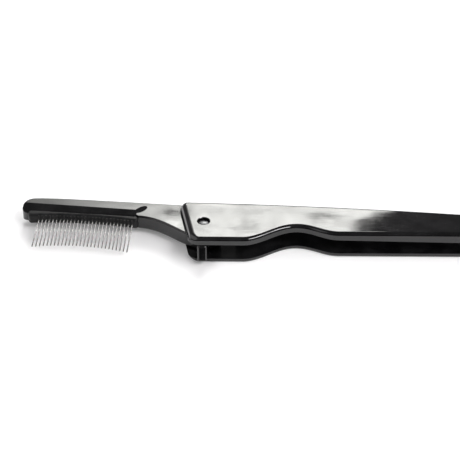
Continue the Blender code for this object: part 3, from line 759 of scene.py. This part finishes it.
def make_rivet():
    """The rivet's upper half: a nearly flat head in its recess and a shank down the barrel."""
    seat = HANDLE_THICKNESS - RIVET_RECESS_DEPTH + SEAT_GAP
    rim = seat + RIVET_HEAD_RIM
    foot = CAP_RECESS_DEPTH + BORE_CLEARANCE
    cap_radius = (RIVET_HEAD_RADIUS**2 + RIVET_HEAD_DOME**2) / (2 * RIVET_HEAD_DOME)
    sweep = math.asin((RIVET_HEAD_RADIUS - RIVET_HEAD_CHAMFER) / cap_radius)
    centre = rim + RIVET_HEAD_DOME - cap_radius
    dome = [mix(0, sweep, i / RIVET_HEAD_STEPS) for i in range(RIVET_HEAD_STEPS + 1)]
    profile = [(cap_radius * math.sin(a), centre + cap_radius * math.cos(a)) for a in dome]
    edge = profile[-1][1]
    profile += [
        (RIVET_HEAD_RADIUS - RIVET_HEAD_CHAMFER * inset, edge - RIVET_HEAD_CHAMFER * drop)
        for inset, drop in RIVET_CHAMFER_SHARES
    ]
    profile += [
        (RIVET_HEAD_RADIUS, seat), (RIVET_SHANK_RADIUS, seat),
        (RIVET_SHANK_RADIUS, foot), (0, foot),
    ]
    return place("rivet_head_dressed", turned("rivet_head", profile, ROUND_SIDES))


def make_rivet_cap():
    """The rivet's lower half: a flat head under the handle and the barrel the hub turns on."""
    seat = CAP_RECESS_DEPTH - SEAT_GAP
    top = HANDLE_THICKNESS - RIVET_RECESS_DEPTH - SEAT_GAP
    low = seat - CAP_HEAD_THICKNESS
    profile = [
        (0, seat), (BARREL_BORE_RADIUS, seat), (BARREL_BORE_RADIUS, top),
        (BARREL_RADIUS, top), (BARREL_RADIUS, seat), (CAP_HEAD_RADIUS, seat),
        (CAP_HEAD_RADIUS, low + CAP_HEAD_CHAMFER), (CAP_HEAD_RADIUS - CAP_HEAD_CHAMFER, low),
        (0, low),
    ]
    return place("rivet_cap_dressed", turned("rivet_cap", profile, ROUND_SIDES))


def slope_cutter(side):
    """A block whose inner face is the slope: one on the upper face, one on the lower."""
    length = HEAD_REACH + OVERRUN - SLOPE_RIGHT_REACH
    rise = SLOPE_LEFT_BACK - SLOPE_RIGHT_BACK
    turn = -math.atan2(rise, HEAD_REACH - SLOPE_RIGHT_REACH)
    block = 2 * OVERRUN
    shape = bmesh.new()
    bmesh.ops.create_cube(shape, size=1)
    bmesh.ops.scale(shape, verts=shape.verts, vec=(length, block, block))
    bmesh.ops.translate(shape, verts=shape.verts, vec=(-length / 2, -block / 2, block / 2))
    place_at = Matrix.Translation((-SLOPE_RIGHT_REACH, SLOPE_RIGHT_BACK, PARTING))
    lift = Matrix.Translation((0, 0, ARM_THICKNESS / 2))
    flip = Matrix.Diagonal((1, 1, side, 1))
    turns = Matrix.Rotation(turn, 4, "Z") @ Matrix.Rotation(SLOPE_TILT, 4, "X")
    bmesh.ops.transform(shape, verts=shape.verts, matrix=place_at @ flip @ lift @ turns)
    bmesh.ops.recalc_face_normals(shape, faces=shape.faces)
    return written(shape, bpy.data.meshes.new("slope"))


def scoop_cutter(side):
    """An oval block with a tilted floor that dishes the neck where the slope runs out."""
    mesh = cylinder("scoop", SCOOP_WIDTH / 2, 0, OVERRUN)
    mesh.transform(Matrix.Diagonal((SCOOP_LENGTH / SCOOP_WIDTH, 1, 1, 1)))
    mesh.transform(Matrix.Rotation(SCOOP_TURN, 4, "Z") @ Matrix.Rotation(SCOOP_TILT, 4, "X"))
    sunk = ARM_THICKNESS / 2 - SCOOP_WIDTH / 2 * math.tan(SCOOP_TILT)
    mesh.transform(Matrix.Translation((*SCOOP, sunk)))
    mesh.transform(Matrix.Diagonal((1, 1, side, 1)))
    if side < 0:
        mesh.flip_normals()
    mesh.transform(Matrix.Translation((0, 0, PARTING)))
    return mesh


def make_arm():
    mesh = extruded("arm", arm_outline(), ARM_LOW, ARM_HIGH)
    lean = ARM_THICKNESS * math.tan(FLIPPER_NOSE_TILT)
    nose_back = -FLIPPER_REACH + FLIPPER_NOSE_RADIUS + WELD
    for vert in mesh.vertices:
        if vert.co.z > PARTING and vert.co.y < nose_back:
            vert.co.y += lean
    mark_rims(mesh, (ARM_LOW, ARM_HIGH))
    arm = place("comb_arm_dressed", mesh)
    round_edges(arm, ARM_EDGE_RADIUS)
    for cutter in (slope_cutter, scoop_cutter):
        for side in (1, -1):
            combine(arm, cutter(side))
    combine(arm, extruded("seat", seat_outline(), ARM_LOW - OVERRUN, ARM_HIGH + OVERRUN))
    half = TONGUE_HEIGHT / 2 + SEAT_GAP
    combine(arm, extruded("groove", tongue_outline(SEAT_GAP), PARTING - half, PARTING + half))
    bore = BARREL_RADIUS + BORE_CLEARANCE
    combine(arm, cylinder("bore", bore, ARM_LOW - OVERRUN, ARM_HIGH + OVERRUN))
    return baked(arm)


def tooth_turn():
    """Turns +Z to the way the teeth point: to the front, leaning to the tip and down."""
    lean = Matrix.Rotation(-TOOTH_LEAN, 4, "Z")
    return lean @ Matrix.Rotation(math.pi / 2 + TOOTH_DROP, 4, "X")


def tooth_place(number):
    """Where a tooth leaves the carrier, and how far it reaches."""
    x = -mix(TOOTH_FIRST_REACH, TOOTH_LAST_REACH, number / (TOOTH_COUNT - 1))
    share = carrier_share(x)
    y = carrier_front_y(share)
    tip_y = bowed(-TIP_LEFT, -TIP_RIGHT, TIP_BOW, share)
    reach = (y - tip_y) / math.cos(TOOTH_LEAN) / math.cos(TOOTH_DROP)
    return Vector((x, y, PARTING + TOOTH_RISE)), reach


def make_carrier():
    half = CARRIER_HEIGHT / 2
    outline = carrier_outline(SEAT_GAP)
    rings = rim_rings(outline, PARTING - half, -1, carrier_rim_radius)[::-1]
    rings += rim_rings(outline, PARTING + half, 1, carrier_rim_radius)
    carrier = place("tooth_carrier_dressed", lofted("carrier", rings))
    half = TONGUE_HEIGHT / 2
    tongue = extruded("tongue", tongue_outline(0), PARTING - half, PARTING + half)
    combine(carrier, tongue, "UNION")
    lip = COLLAR_LIP * COLLAR_LIP_SHARE
    rib_top = PARTING + CARRIER_HEIGHT / 2 - CARRIER_EDGE_RADIUS * RIB_TOP_SHARE
    collars = []
    ribs = []
    holes = []
    for number in range(TOOTH_COUNT):
        root, _ = tooth_place(number)
        put = Matrix.Translation(root) @ tooth_turn()
        profile = [
            (0, COLLAR_REACH), (COLLAR_RADIUS - COLLAR_LIP, COLLAR_REACH),
            (COLLAR_RADIUS - lip, COLLAR_REACH - lip),
            (COLLAR_RADIUS, COLLAR_REACH - COLLAR_LIP), (COLLAR_RADIUS, -SINK), (0, -SINK),
        ]
        collar = turned("collar", profile, COLLAR_SIDES)
        collar.transform(put)
        collars.append(collar)
        radius = TOOTH_RADIUS + TOOTH_HOLE_CLEARANCE
        hole = cylinder("hole", radius, -TOOTH_SEAT - SEAT_GAP, SINK, sides=TOOTH_SIDES)
        hole.transform(put)
        holes.append(hole)
        rib_at = (root.x, root.y + RIB_SINK)
        ribs.append(cylinder("rib", RIB_RADIUS, root.z, rib_top, rib_at, TOOTH_SIDES))
    combine(carrier, joined("collars", collars), "UNION")
    combine(carrier, joined("ribs", ribs), "UNION")
    combine(carrier, joined("holes", holes))
    return baked(carrier)


def make_tooth(number):
    root, reach = tooth_place(number)
    shoulder = reach - TOOTH_TIP_RADIUS
    profile = [(0, reach)]
    profile += [
        (TOOTH_TIP_RADIUS * math.cos(a), shoulder + TOOTH_TIP_RADIUS * math.sin(a))
        for a in map(math.radians, TOOTH_TIP_ANGLES)
    ]
    taper_start = reach * TOOTH_TAPER_SHARE
    profile += [(TOOTH_RADIUS, taper_start), (TOOTH_RADIUS, -TOOTH_SEAT), (0, -TOOTH_SEAT)]
    mesh = turned("tooth", profile, TOOTH_SIDES)
    tooth = place(f"steel_tooth_{number + 1:02d}", mesh)
    tooth.matrix_world = Matrix.Translation(root) @ tooth_turn()
    return tooth


# Node helpers


class Nodes:
    """A short way to write a node tree. Add gives the new node, the rest give its output."""

    def __init__(self, tree):
        self.tree = tree

    def feed(self, socket, value):
        """Links a socket to another one, or sets its plain value."""
        if isinstance(value, bpy.types.NodeSocket):
            self.tree.links.new(value, socket)
        else:
            socket.default_value = value

    def add(self, kind, sockets=(), **settings):
        node = self.tree.nodes.new(kind)
        for name, value in settings.items():
            setattr(node, name, value)
        for key, value in dict(sockets).items():
            self.feed(node.inputs[key], value)
        return node

    def math(self, operation, *values):
        sockets = dict(enumerate(values))
        return self.add("ShaderNodeMath", sockets, operation=operation).outputs[0]

    def ramp(self, value, low, high, to_low=0.0, to_high=1.0, smooth=True):
        kind = "SMOOTHSTEP" if smooth else "LINEAR"
        sockets = {0: value, 1: low, 2: high, 3: to_low, 4: to_high}
        return self.add("ShaderNodeMapRange", sockets, interpolation_type=kind).outputs[0]

    def noise(self, vector, scale, detail, rough, distortion=0.0):
        sockets = {
            "Vector": vector, "Scale": scale, "Detail": detail,
            "Roughness": rough, "Distortion": distortion,
        }
        return self.add("ShaderNodeTexNoise", sockets).outputs[0]

    def stretched(self, vector, scale, turn=0.0):
        sockets = {"Vector": vector, "Scale": scale, "Rotation": (0, 0, turn)}
        return self.add("ShaderNodeMapping", sockets).outputs[0]

    def mix_colour(self, share, first, second):
        sockets = {0: share, 6: first, 7: second}
        return self.add("ShaderNodeMix", sockets, data_type="RGBA").outputs[2]


def new_material(name):
    made = bpy.data.materials.new(name)
    made.use_nodes = True
    made.node_tree.nodes.clear()
    nodes = Nodes(made.node_tree)
    shader = nodes.add("ShaderNodeBsdfPrincipled")
    output = nodes.add("ShaderNodeOutputMaterial")
    made.node_tree.links.new(shader.outputs[0], output.inputs[0])
    return made, nodes, shader


# Surfaces. A noise has its cells to a metre, detail, roughness and distortion. A range is
# where a ramp starts and ends. A pale colour is the plain one times a gain plus a lift

BEVEL_SAMPLES = 6
WORN_RANGE = (0.995, 0.86)

BLACK = (0.0036, 0.0036, 0.0039)
GLOSS_IOR = 1.6
GLOSS_PALE = (1.9, 0.004)
GLOSS_CLOUD = (180, 3, 0.55, 0.4)
GLOSS_FINE = (5200, 2, 0.6)
GLOSS_SWELL = (95, 2, 0.5, 0.3)
GLOSS_PALE_RANGE = (0.35, 0.7)
GLOSS_ROUGH_RANGE = (0.3, 0.75)
GLOSS_ROUGH_GAIN = 1.8
GLOSS_WORN_RADIUS = 0.00035
GLOSS_WORN_ROUGH = 0.10
DRAWN_SCALES = (60, 900, 900)
DRAWN_NOISE = (1.0, 4, 0.6)
DRAWN_RANGE = (0.5, 0.8)
DRAWN_ROUGH = 0.012
DUST_NOISE = (2600, 1, 0.5)
DUST_RANGE = (0.735, 0.775)
DUST_COLOUR = (0.055, 0.055, 0.057, 1)
DUST_SHARE = 0.35
DUST_ROUGH = 0.12
FINE_SHARE = 0.12
GRAIN_SHARE = 0.10

SATIN_BLACK = (0.0065, 0.0065, 0.0068)
SATIN_SPECULAR = 0.24
SATIN_PALE = (2.2, 0.006)
SATIN_CLOUD = (420, 3, 0.6, 0.3)
SATIN_GRAIN = (7500, 2, 0.6)
SATIN_PIT_SCALE = 5200
SATIN_PIT_SHARE = 0.5
SATIN_PALE_RANGE = (0.3, 0.75)
SATIN_ROUGH_RANGE = (0.3, 0.7)
SATIN_ROUGH_GAIN = 1.25
SATIN_WORN_RADIUS = 0.00025
SATIN_WORN_SHARE = 0.8
SATIN_WORN_POLISH = 0.12
SATIN_BUMP = {"Strength": 0.5, "Distance": 0.000012}

STEEL = (0.86, 0.85, 0.83)
BLACK_NICKEL = (0.10, 0.10, 0.105)
CAP_NICKEL = (0.14, 0.14, 0.145)
METAL_CLOUD = (700, 2, 0.5)
METAL_CLOUD_RANGE = (0.3, 0.7)
METAL_DARK_GAIN = 0.72
METAL_ROUGH_GAIN = 1.5
METAL_LINES = (1.0, 3, 0.6)
METAL_LINE_RANGE = (0.4, 0.8)
METAL_LINE_ROUGH = 0.08
METAL_BUMP = {"Strength": 0.4, "Distance": 0.000004}
WIRE_SCALES = (9000, 9000, 300)
TURNED_SCALES = (900, 900, 900)
# Painted shade on the teeth: their colour darkens from the first length along each tooth to the
# second, down to the gain times the plain colour
TIP_PAINTED_SHADE = (0.0050, 0.0125)
TIP_PAINTED_SHADE_GAIN = 0.14


def paler(colour, gain, lift):
    return tuple(c * gain + lift for c in colour) + (1,)


def edge_share(nodes, radius):
    """Near 1 on worn edges: where the normal of a rounded copy leaves the true one."""
    soft = nodes.add("ShaderNodeBevel", {"Radius": radius}, samples=BEVEL_SAMPLES).outputs[0]
    true = nodes.add("ShaderNodeNewGeometry").outputs["Normal"]
    dot = nodes.add("ShaderNodeVectorMath", {0: soft, 1: true}, operation="DOT_PRODUCT")
    return nodes.ramp(dot.outputs["Value"], *WORN_RANGE)


def gloss_plastic(name, rough, wave, streak_turn=0.0):
    """Polished black moulding: slow waves in its skin, drawn streaks, dust and rubbed edges."""
    made, nodes, shader = new_material(name)
    place_at = nodes.add("ShaderNodeTexCoord").outputs["Object"]
    cloud = nodes.noise(place_at, *GLOSS_CLOUD)
    fine = nodes.noise(place_at, *GLOSS_FINE)
    drawn = nodes.noise(nodes.stretched(place_at, DRAWN_SCALES, streak_turn), *DRAWN_NOISE)
    dust = nodes.ramp(nodes.noise(place_at, *DUST_NOISE), *DUST_RANGE)
    worn = nodes.math("MULTIPLY", edge_share(nodes, GLOSS_WORN_RADIUS), cloud)
    pale = paler(BLACK, *GLOSS_PALE)
    tint = nodes.mix_colour(nodes.ramp(cloud, *GLOSS_PALE_RANGE), (*BLACK, 1), pale)
    tint = nodes.mix_colour(nodes.math("MULTIPLY", dust, DUST_SHARE), tint, DUST_COLOUR)
    nodes.feed(shader.inputs["Base Color"], nodes.mix_colour(worn, tint, pale))
    matt = nodes.ramp(cloud, *GLOSS_ROUGH_RANGE, rough, rough * GLOSS_ROUGH_GAIN)
    matt = nodes.math("ADD", matt, nodes.ramp(drawn, *DRAWN_RANGE, 0.0, DRAWN_ROUGH))
    matt = nodes.math("ADD", matt, nodes.math("MULTIPLY", dust, DUST_ROUGH))
    matt = nodes.math("ADD", matt, nodes.math("MULTIPLY", worn, GLOSS_WORN_ROUGH))
    nodes.feed(shader.inputs["Roughness"], matt)
    nodes.feed(shader.inputs["IOR"], GLOSS_IOR)
    swell = nodes.noise(place_at, *GLOSS_SWELL)
    bump = nodes.add("ShaderNodeBump", {"Strength": 1.0, "Distance": wave, "Height": swell})
    grain = nodes.math("ADD", drawn, nodes.math("MULTIPLY", fine, FINE_SHARE))
    bump = nodes.add("ShaderNodeBump", {
        "Strength": 1.0, "Distance": wave * GRAIN_SHARE, "Height": grain,
        "Normal": bump.outputs[0],
    })
    nodes.feed(shader.inputs["Normal"], bump.outputs[0])
    return made


def satin_plastic(name, rough):
    """Fine-grained black moulding with small pits and rubbed edges."""
    made, nodes, shader = new_material(name)
    place_at = nodes.add("ShaderNodeTexCoord").outputs["Object"]
    cloud = nodes.noise(place_at, *SATIN_CLOUD)
    grain = nodes.noise(place_at, *SATIN_GRAIN)
    cells = {"Vector": place_at, "Scale": SATIN_PIT_SCALE}
    pits = nodes.add("ShaderNodeTexVoronoi", cells).outputs[0]
    worn = nodes.math("MULTIPLY", edge_share(nodes, SATIN_WORN_RADIUS), SATIN_WORN_SHARE)
    pale = paler(SATIN_BLACK, *SATIN_PALE)
    tint = nodes.mix_colour(nodes.ramp(cloud, *SATIN_PALE_RANGE), (*SATIN_BLACK, 1), pale)
    nodes.feed(shader.inputs["Base Color"], nodes.mix_colour(worn, tint, pale))
    matt = nodes.ramp(cloud, *SATIN_ROUGH_RANGE, rough, rough * SATIN_ROUGH_GAIN)
    matt = nodes.math("SUBTRACT", matt, nodes.math("MULTIPLY", worn, SATIN_WORN_POLISH))
    nodes.feed(shader.inputs["Roughness"], matt)
    nodes.feed(shader.inputs["Specular IOR Level"], SATIN_SPECULAR)
    height = nodes.math("ADD", nodes.math("MULTIPLY", pits, SATIN_PIT_SHARE), grain)
    bump = nodes.add("ShaderNodeBump", {**SATIN_BUMP, "Height": height})
    nodes.feed(shader.inputs["Normal"], bump.outputs[0])
    return made


def metal(name, colour, line_scales, rough, painted_tip_shade_gain=1.0):
    """Drawn or turned metal: fine lines, a little drift of colour and gloss. A tip gain under
    1 paints shade on the tip: it darkens what lies beyond the start of the painted tip shade."""
    made, nodes, shader = new_material(name)
    place_at = nodes.add("ShaderNodeTexCoord").outputs["Object"]
    lines = nodes.noise(nodes.stretched(place_at, line_scales), *METAL_LINES)
    cloud = nodes.noise(place_at, *METAL_CLOUD)
    dark = paler(colour, METAL_DARK_GAIN, 0)
    tint = nodes.mix_colour(nodes.ramp(cloud, *METAL_CLOUD_RANGE), dark, (*colour, 1))
    if painted_tip_shade_gain < 1:
        # Painted shade: the colour darkens along the tooth towards its tip
        along_it = nodes.add("ShaderNodeSeparateXYZ", {0: place_at}).outputs[2]
        painted_tip_shade = nodes.ramp(along_it, *TIP_PAINTED_SHADE, smooth=False)
        tint = nodes.mix_colour(painted_tip_shade, tint, paler(colour, painted_tip_shade_gain, 0))
    nodes.feed(shader.inputs["Base Color"], tint)
    nodes.feed(shader.inputs["Metallic"], 1.0)
    matt = nodes.ramp(cloud, *METAL_CLOUD_RANGE, rough, rough * METAL_ROUGH_GAIN)
    matt = nodes.math("ADD", matt, nodes.ramp(lines, *METAL_LINE_RANGE, 0.0, METAL_LINE_ROUGH))
    nodes.feed(shader.inputs["Roughness"], matt)
    bump = nodes.add("ShaderNodeBump", {**METAL_BUMP, "Height": lines})
    nodes.feed(shader.inputs["Normal"], bump.outputs[0])
    return made


# The part

upper_black = gloss_plastic("upper_shell_gloss", rough=0.026, wave=0.000010)
lower_black = gloss_plastic("lower_shell_gloss", rough=0.055, wave=0.000012)
arm_black = gloss_plastic("arm_gloss", rough=0.028, wave=0.000010, streak_turn=math.radians(6))
carrier_black = satin_plastic("carrier_satin", rough=0.30)
# The teeth carry painted shade, darker towards their tips
tooth_steel = metal("tooth_wire", STEEL, WIRE_SCALES, rough=0.20, painted_tip_shade_gain=TIP_PAINTED_SHADE_GAIN)
head_metal = metal("rivet_black_nickel", BLACK_NICKEL, TURNED_SCALES, rough=0.12)
cap_metal = metal("rivet_cap_nickel", CAP_NICKEL, TURNED_SCALES, rough=0.20)

finish_piece(make_upper_shell(), "handle", ["handle_upper_shell"], upper_black)
finish_piece(make_lower_shell(), "handle", ["handle_lower_shell"], lower_black)
finish_piece(make_rivet(), "handle", ["pivot_rivet"], head_metal)
finish_piece(make_rivet_cap(), "handle", ["rivet_cap"], cap_metal)
comb_pieces = [
    finish_piece(make_arm(), "comb", ["comb_arm"], arm_black),
    finish_piece(make_carrier(), "comb", ["tooth_carrier"], carrier_black),
]
for index in range(TOOTH_COUNT):
    node = f"tooth_{index + 1:02d}"
    tooth = finish_piece(make_tooth(index), "comb", [node], tooth_steel)
    comb_pieces.append(tooth)


# Studio

FLOOR_SIDE = 6.0
FLOOR_COLOUR = (0.88, 0.88, 0.88)
FLOOR_ROUGH = 0.9
FLOOR_GLOW = 0.16


def seen_rays(nodes):
    """1 for camera, glossy and transmission rays."""
    path = nodes.add("ShaderNodeLightPath").outputs
    seen = nodes.math("MAXIMUM", path["Is Camera Ray"], path["Is Glossy Ray"])
    return nodes.math("MAXIMUM", seen, path["Is Transmission Ray"])


def make_floor():
    mesh = bpy.data.meshes.new("floor")
    half = FLOOR_SIDE / 2
    corners = [(-half, -half, 0), (half, -half, 0), (half, half, 0), (-half, half, 0)]
    mesh.from_pydata(corners, [], [(0, 1, 2, 3)])
    floor = place("floor", mesh)
    made, nodes, shader = new_material("floor_paper")
    nodes.feed(shader.inputs["Base Color"], (*FLOOR_COLOUR, 1))
    nodes.feed(shader.inputs["Roughness"], FLOOR_ROUGH)
    nodes.feed(shader.inputs["Specular IOR Level"], 0.0)
    nodes.feed(shader.inputs["Emission Color"], (1, 1, 1, 1))
    glow = nodes.math("MULTIPLY", seen_rays(nodes), FLOOR_GLOW)
    nodes.feed(shader.inputs["Emission Strength"], glow)
    mesh.materials.append(made)


def band(nodes, value, low, high, soft_low, soft_high):
    """1 between two values of a bearing or height, with a soft start and end."""
    rise = nodes.ramp(value, low - soft_low, low + soft_low)
    fall = nodes.ramp(value, high - soft_high, high + soft_high, 1.0, 0.0)
    return nodes.math("MULTIPLY", rise, fall)


# The surroundings, in degrees: bearings run from +Y towards +X. Each soft box has its low
# and high bearing and height, with the softness of both ends, then its brightness
ROOM_LIGHT = (0.22, 0.11)
ROOM_COLOUR = (1.0, 0.985, 0.995, 1)
ROOM_FALL = (16, 50)
DARK_FRONT = (112, 142)
DARK_FRONT_DEPTH = 0.85
DARK_FRONT_FALL = (24, 36)
SOFT_BOXES = (
    ((-135, -52, 8, 8), (16, 60, 6, 6), 0.9),
    ((-80, -37, 6, 3), (-6, 11, 3, 5), 2.0),
    ((-8, 8, 3, 3), (50, 54, 2, 2), 3.5),
    ((17, 34, 3, 3), (20, 46, 4, 4), 4.0),
    ((38, 100, 8, 8), (10, 60, 6, 6), 1.35),
    ((105, 148, 4, 5), (41, 54, 4, 4), 15.0),
)

# The back box, which the flat tops mirror: it brightens to the right, and its right end bows
# out above and below the middle height
BACK_BOX_COLOUR = (1.0, 1.0, 0.965, 1)
BACK_BOX_RISE = (-12.7, -1.2)
BACK_BOX_LIGHT = (1.15, 10.3)
BACK_BOX_LEFT = (-23, -16)
BACK_BOX_LOW = (32.0, 33.4)
BACK_BOX_HIGH = (40, 44)
BACK_BOX_END = 5.95
BACK_BOX_END_BOW = 2.0
BACK_BOX_BOW_LIMIT = 1.8
BACK_BOX_MIDDLE = 35.73
BACK_BOX_END_SOFT = 0.40
MARBLE_SCALES = (0.55, 3.2, 1)
MARBLE_NOISE = (1.0, 4, 0.6, 0.9)
MARBLE_TURN = math.radians(4)
MARBLE_RANGE = (0.38, 0.60)
MARBLE_LIGHT = (0.62, 1.10)

# Clouds on the back box: bearing, height, half width, half height and depth. A depth under
# zero makes a brighter cloud
CLOUD_EDGE = (0.1, 1.6)
CLOUDS = (
    (4.50, 35.28, 1.00, 0.28, 0.62),
    (0.60, 35.92, 0.75, 0.16, 0.40),
    (-0.80, 35.18, 0.70, 0.16, 0.36),
    (-2.56, 35.29, 0.66, 0.18, 1.00),
    (-2.78, 35.66, 0.55, 0.16, -0.80),
)

# A low, wide lamp behind the object: it throws the comb's shadow forward
LAMP_BEARING = 8
LAMP_HEIGHT = 33
LAMP_ANGLE = 26
LAMP_LIGHT = 1.7


def cloud_share(nodes, bearing, height, cloud):
    """1 away from a cloud, going over to what its depth leaves at its middle."""
    middle, level, half_width, half_height, depth = cloud
    across = nodes.math("DIVIDE", nodes.math("SUBTRACT", bearing, middle), half_width)
    upward = nodes.math("DIVIDE", nodes.math("SUBTRACT", height, level), half_height)
    reach = nodes.math("ADD", nodes.math("POWER", across, 2), nodes.math("POWER", upward, 2))
    return nodes.ramp(reach, *CLOUD_EDGE, 1 - depth, 1.0)


def back_box(nodes, bearing, height):
    """The bright box behind: it fades to the left and ends sharply, with a bow, on the right."""
    share = nodes.ramp(bearing, *BACK_BOX_RISE, smooth=False)
    low, high = BACK_BOX_LIGHT
    level = nodes.math("MULTIPLY", nodes.math("POWER", share, 2), high - low)
    level = nodes.math("ADD", level, low)
    bow = nodes.math("POWER", nodes.math("SUBTRACT", height, BACK_BOX_MIDDLE), 2)
    bow = nodes.math("MINIMUM", nodes.math("MULTIPLY", bow, BACK_BOX_END_BOW), BACK_BOX_BOW_LIMIT)
    past = nodes.math("SUBTRACT", bearing, nodes.math("ADD", bow, BACK_BOX_END))
    sheet = nodes.add("ShaderNodeCombineXYZ", {0: bearing, 1: height}).outputs[0]
    streaks = nodes.noise(nodes.stretched(sheet, MARBLE_SCALES, MARBLE_TURN), *MARBLE_NOISE)
    masks = [
        nodes.ramp(past, -BACK_BOX_END_SOFT, BACK_BOX_END_SOFT, 1.0, 0.0),
        nodes.ramp(bearing, *BACK_BOX_LEFT),
        nodes.ramp(height, *BACK_BOX_LOW),
        nodes.ramp(height, *BACK_BOX_HIGH, 1.0, 0.0),
        nodes.ramp(streaks, *MARBLE_RANGE, *MARBLE_LIGHT),
    ]
    masks += [cloud_share(nodes, bearing, height, cloud) for cloud in CLOUDS]
    for mask in masks:
        level = nodes.math("MULTIPLY", level, mask)
    return level


def make_world():
    world = bpy.data.worlds.new("studio")
    bpy.context.scene.world = world
    world.use_nodes = True
    world.node_tree.nodes.clear()
    nodes = Nodes(world.node_tree)
    way = nodes.add("ShaderNodeTexCoord").outputs["Generated"]
    east, north, up = nodes.add("ShaderNodeSeparateXYZ", {0: way}).outputs
    bearing = nodes.math("DEGREES", nodes.math("ARCTAN2", east, north))
    height = nodes.math("DEGREES", nodes.math("ARCSINE", up))
    light = nodes.ramp(height, *ROOM_FALL, *ROOM_LIGHT)
    front = nodes.ramp(nodes.math("ABSOLUTE", bearing), *DARK_FRONT)
    low = nodes.ramp(height, *DARK_FRONT_FALL, DARK_FRONT_DEPTH, 0.0)
    dark = nodes.math("MULTIPLY", front, low)
    light = nodes.math("MULTIPLY", light, nodes.math("SUBTRACT", 1.0, dark))
    for across, upward, strength in SOFT_BOXES:
        mask = nodes.math("MULTIPLY", band(nodes, bearing, *across), band(nodes, height, *upward))
        light = nodes.math("ADD", light, nodes.math("MULTIPLY", mask, strength))
    room = nodes.add("ShaderNodeBackground", {"Color": ROOM_COLOUR, "Strength": light})
    box = back_box(nodes, bearing, height)
    box = nodes.add("ShaderNodeBackground", {"Color": BACK_BOX_COLOUR, "Strength": box})
    both = nodes.add("ShaderNodeAddShader", {0: room.outputs[0], 1: box.outputs[0]})
    output = nodes.add("ShaderNodeOutputWorld")
    world.node_tree.links.new(both.outputs[0], output.inputs[0])


def make_lamp():
    """The photograph's handle throws almost no shadow forward, so the comb alone blocks it."""
    data = bpy.data.lights.new("low_lamp", "SUN")
    data.energy = LAMP_LIGHT
    data.angle = math.radians(LAMP_ANGLE)
    lamp = place("low_lamp", data)
    lamp.rotation_euler = (math.radians(LAMP_HEIGHT - 90), 0, math.radians(-LAMP_BEARING))
    lamp.visible_glossy = False
    blockers = bpy.data.collections.new("lamp_blockers")
    for piece in comb_pieces:
        blockers.objects.link(piece)
    lamp.light_linking.blocker_collection = blockers


CAMERA_PLACE = (-0.03246, -0.33669, 0.24981)
CAMERA_DOWN = 36
SENSOR_WIDTH = 36
FOCAL_PIXELS = 1450
PICTURE_PIXELS = 460
CLIP_START = 0.01


def make_camera():
    """The photograph's view: from the front, straight along +Y, looking down at the object."""
    data = bpy.data.cameras.new("camera")
    data.sensor_width = SENSOR_WIDTH
    data.lens = FOCAL_PIXELS / PICTURE_PIXELS * SENSOR_WIDTH
    data.clip_start = CLIP_START
    camera = place("camera", data)
    camera.location = CAMERA_PLACE
    camera.rotation_euler = (math.radians(90 - CAMERA_DOWN), 0, 0)
    bpy.context.scene.camera = camera


make_floor()
make_world()
make_lamp()
make_camera()
bpy.context.scene.view_settings.view_transform = "Standard"
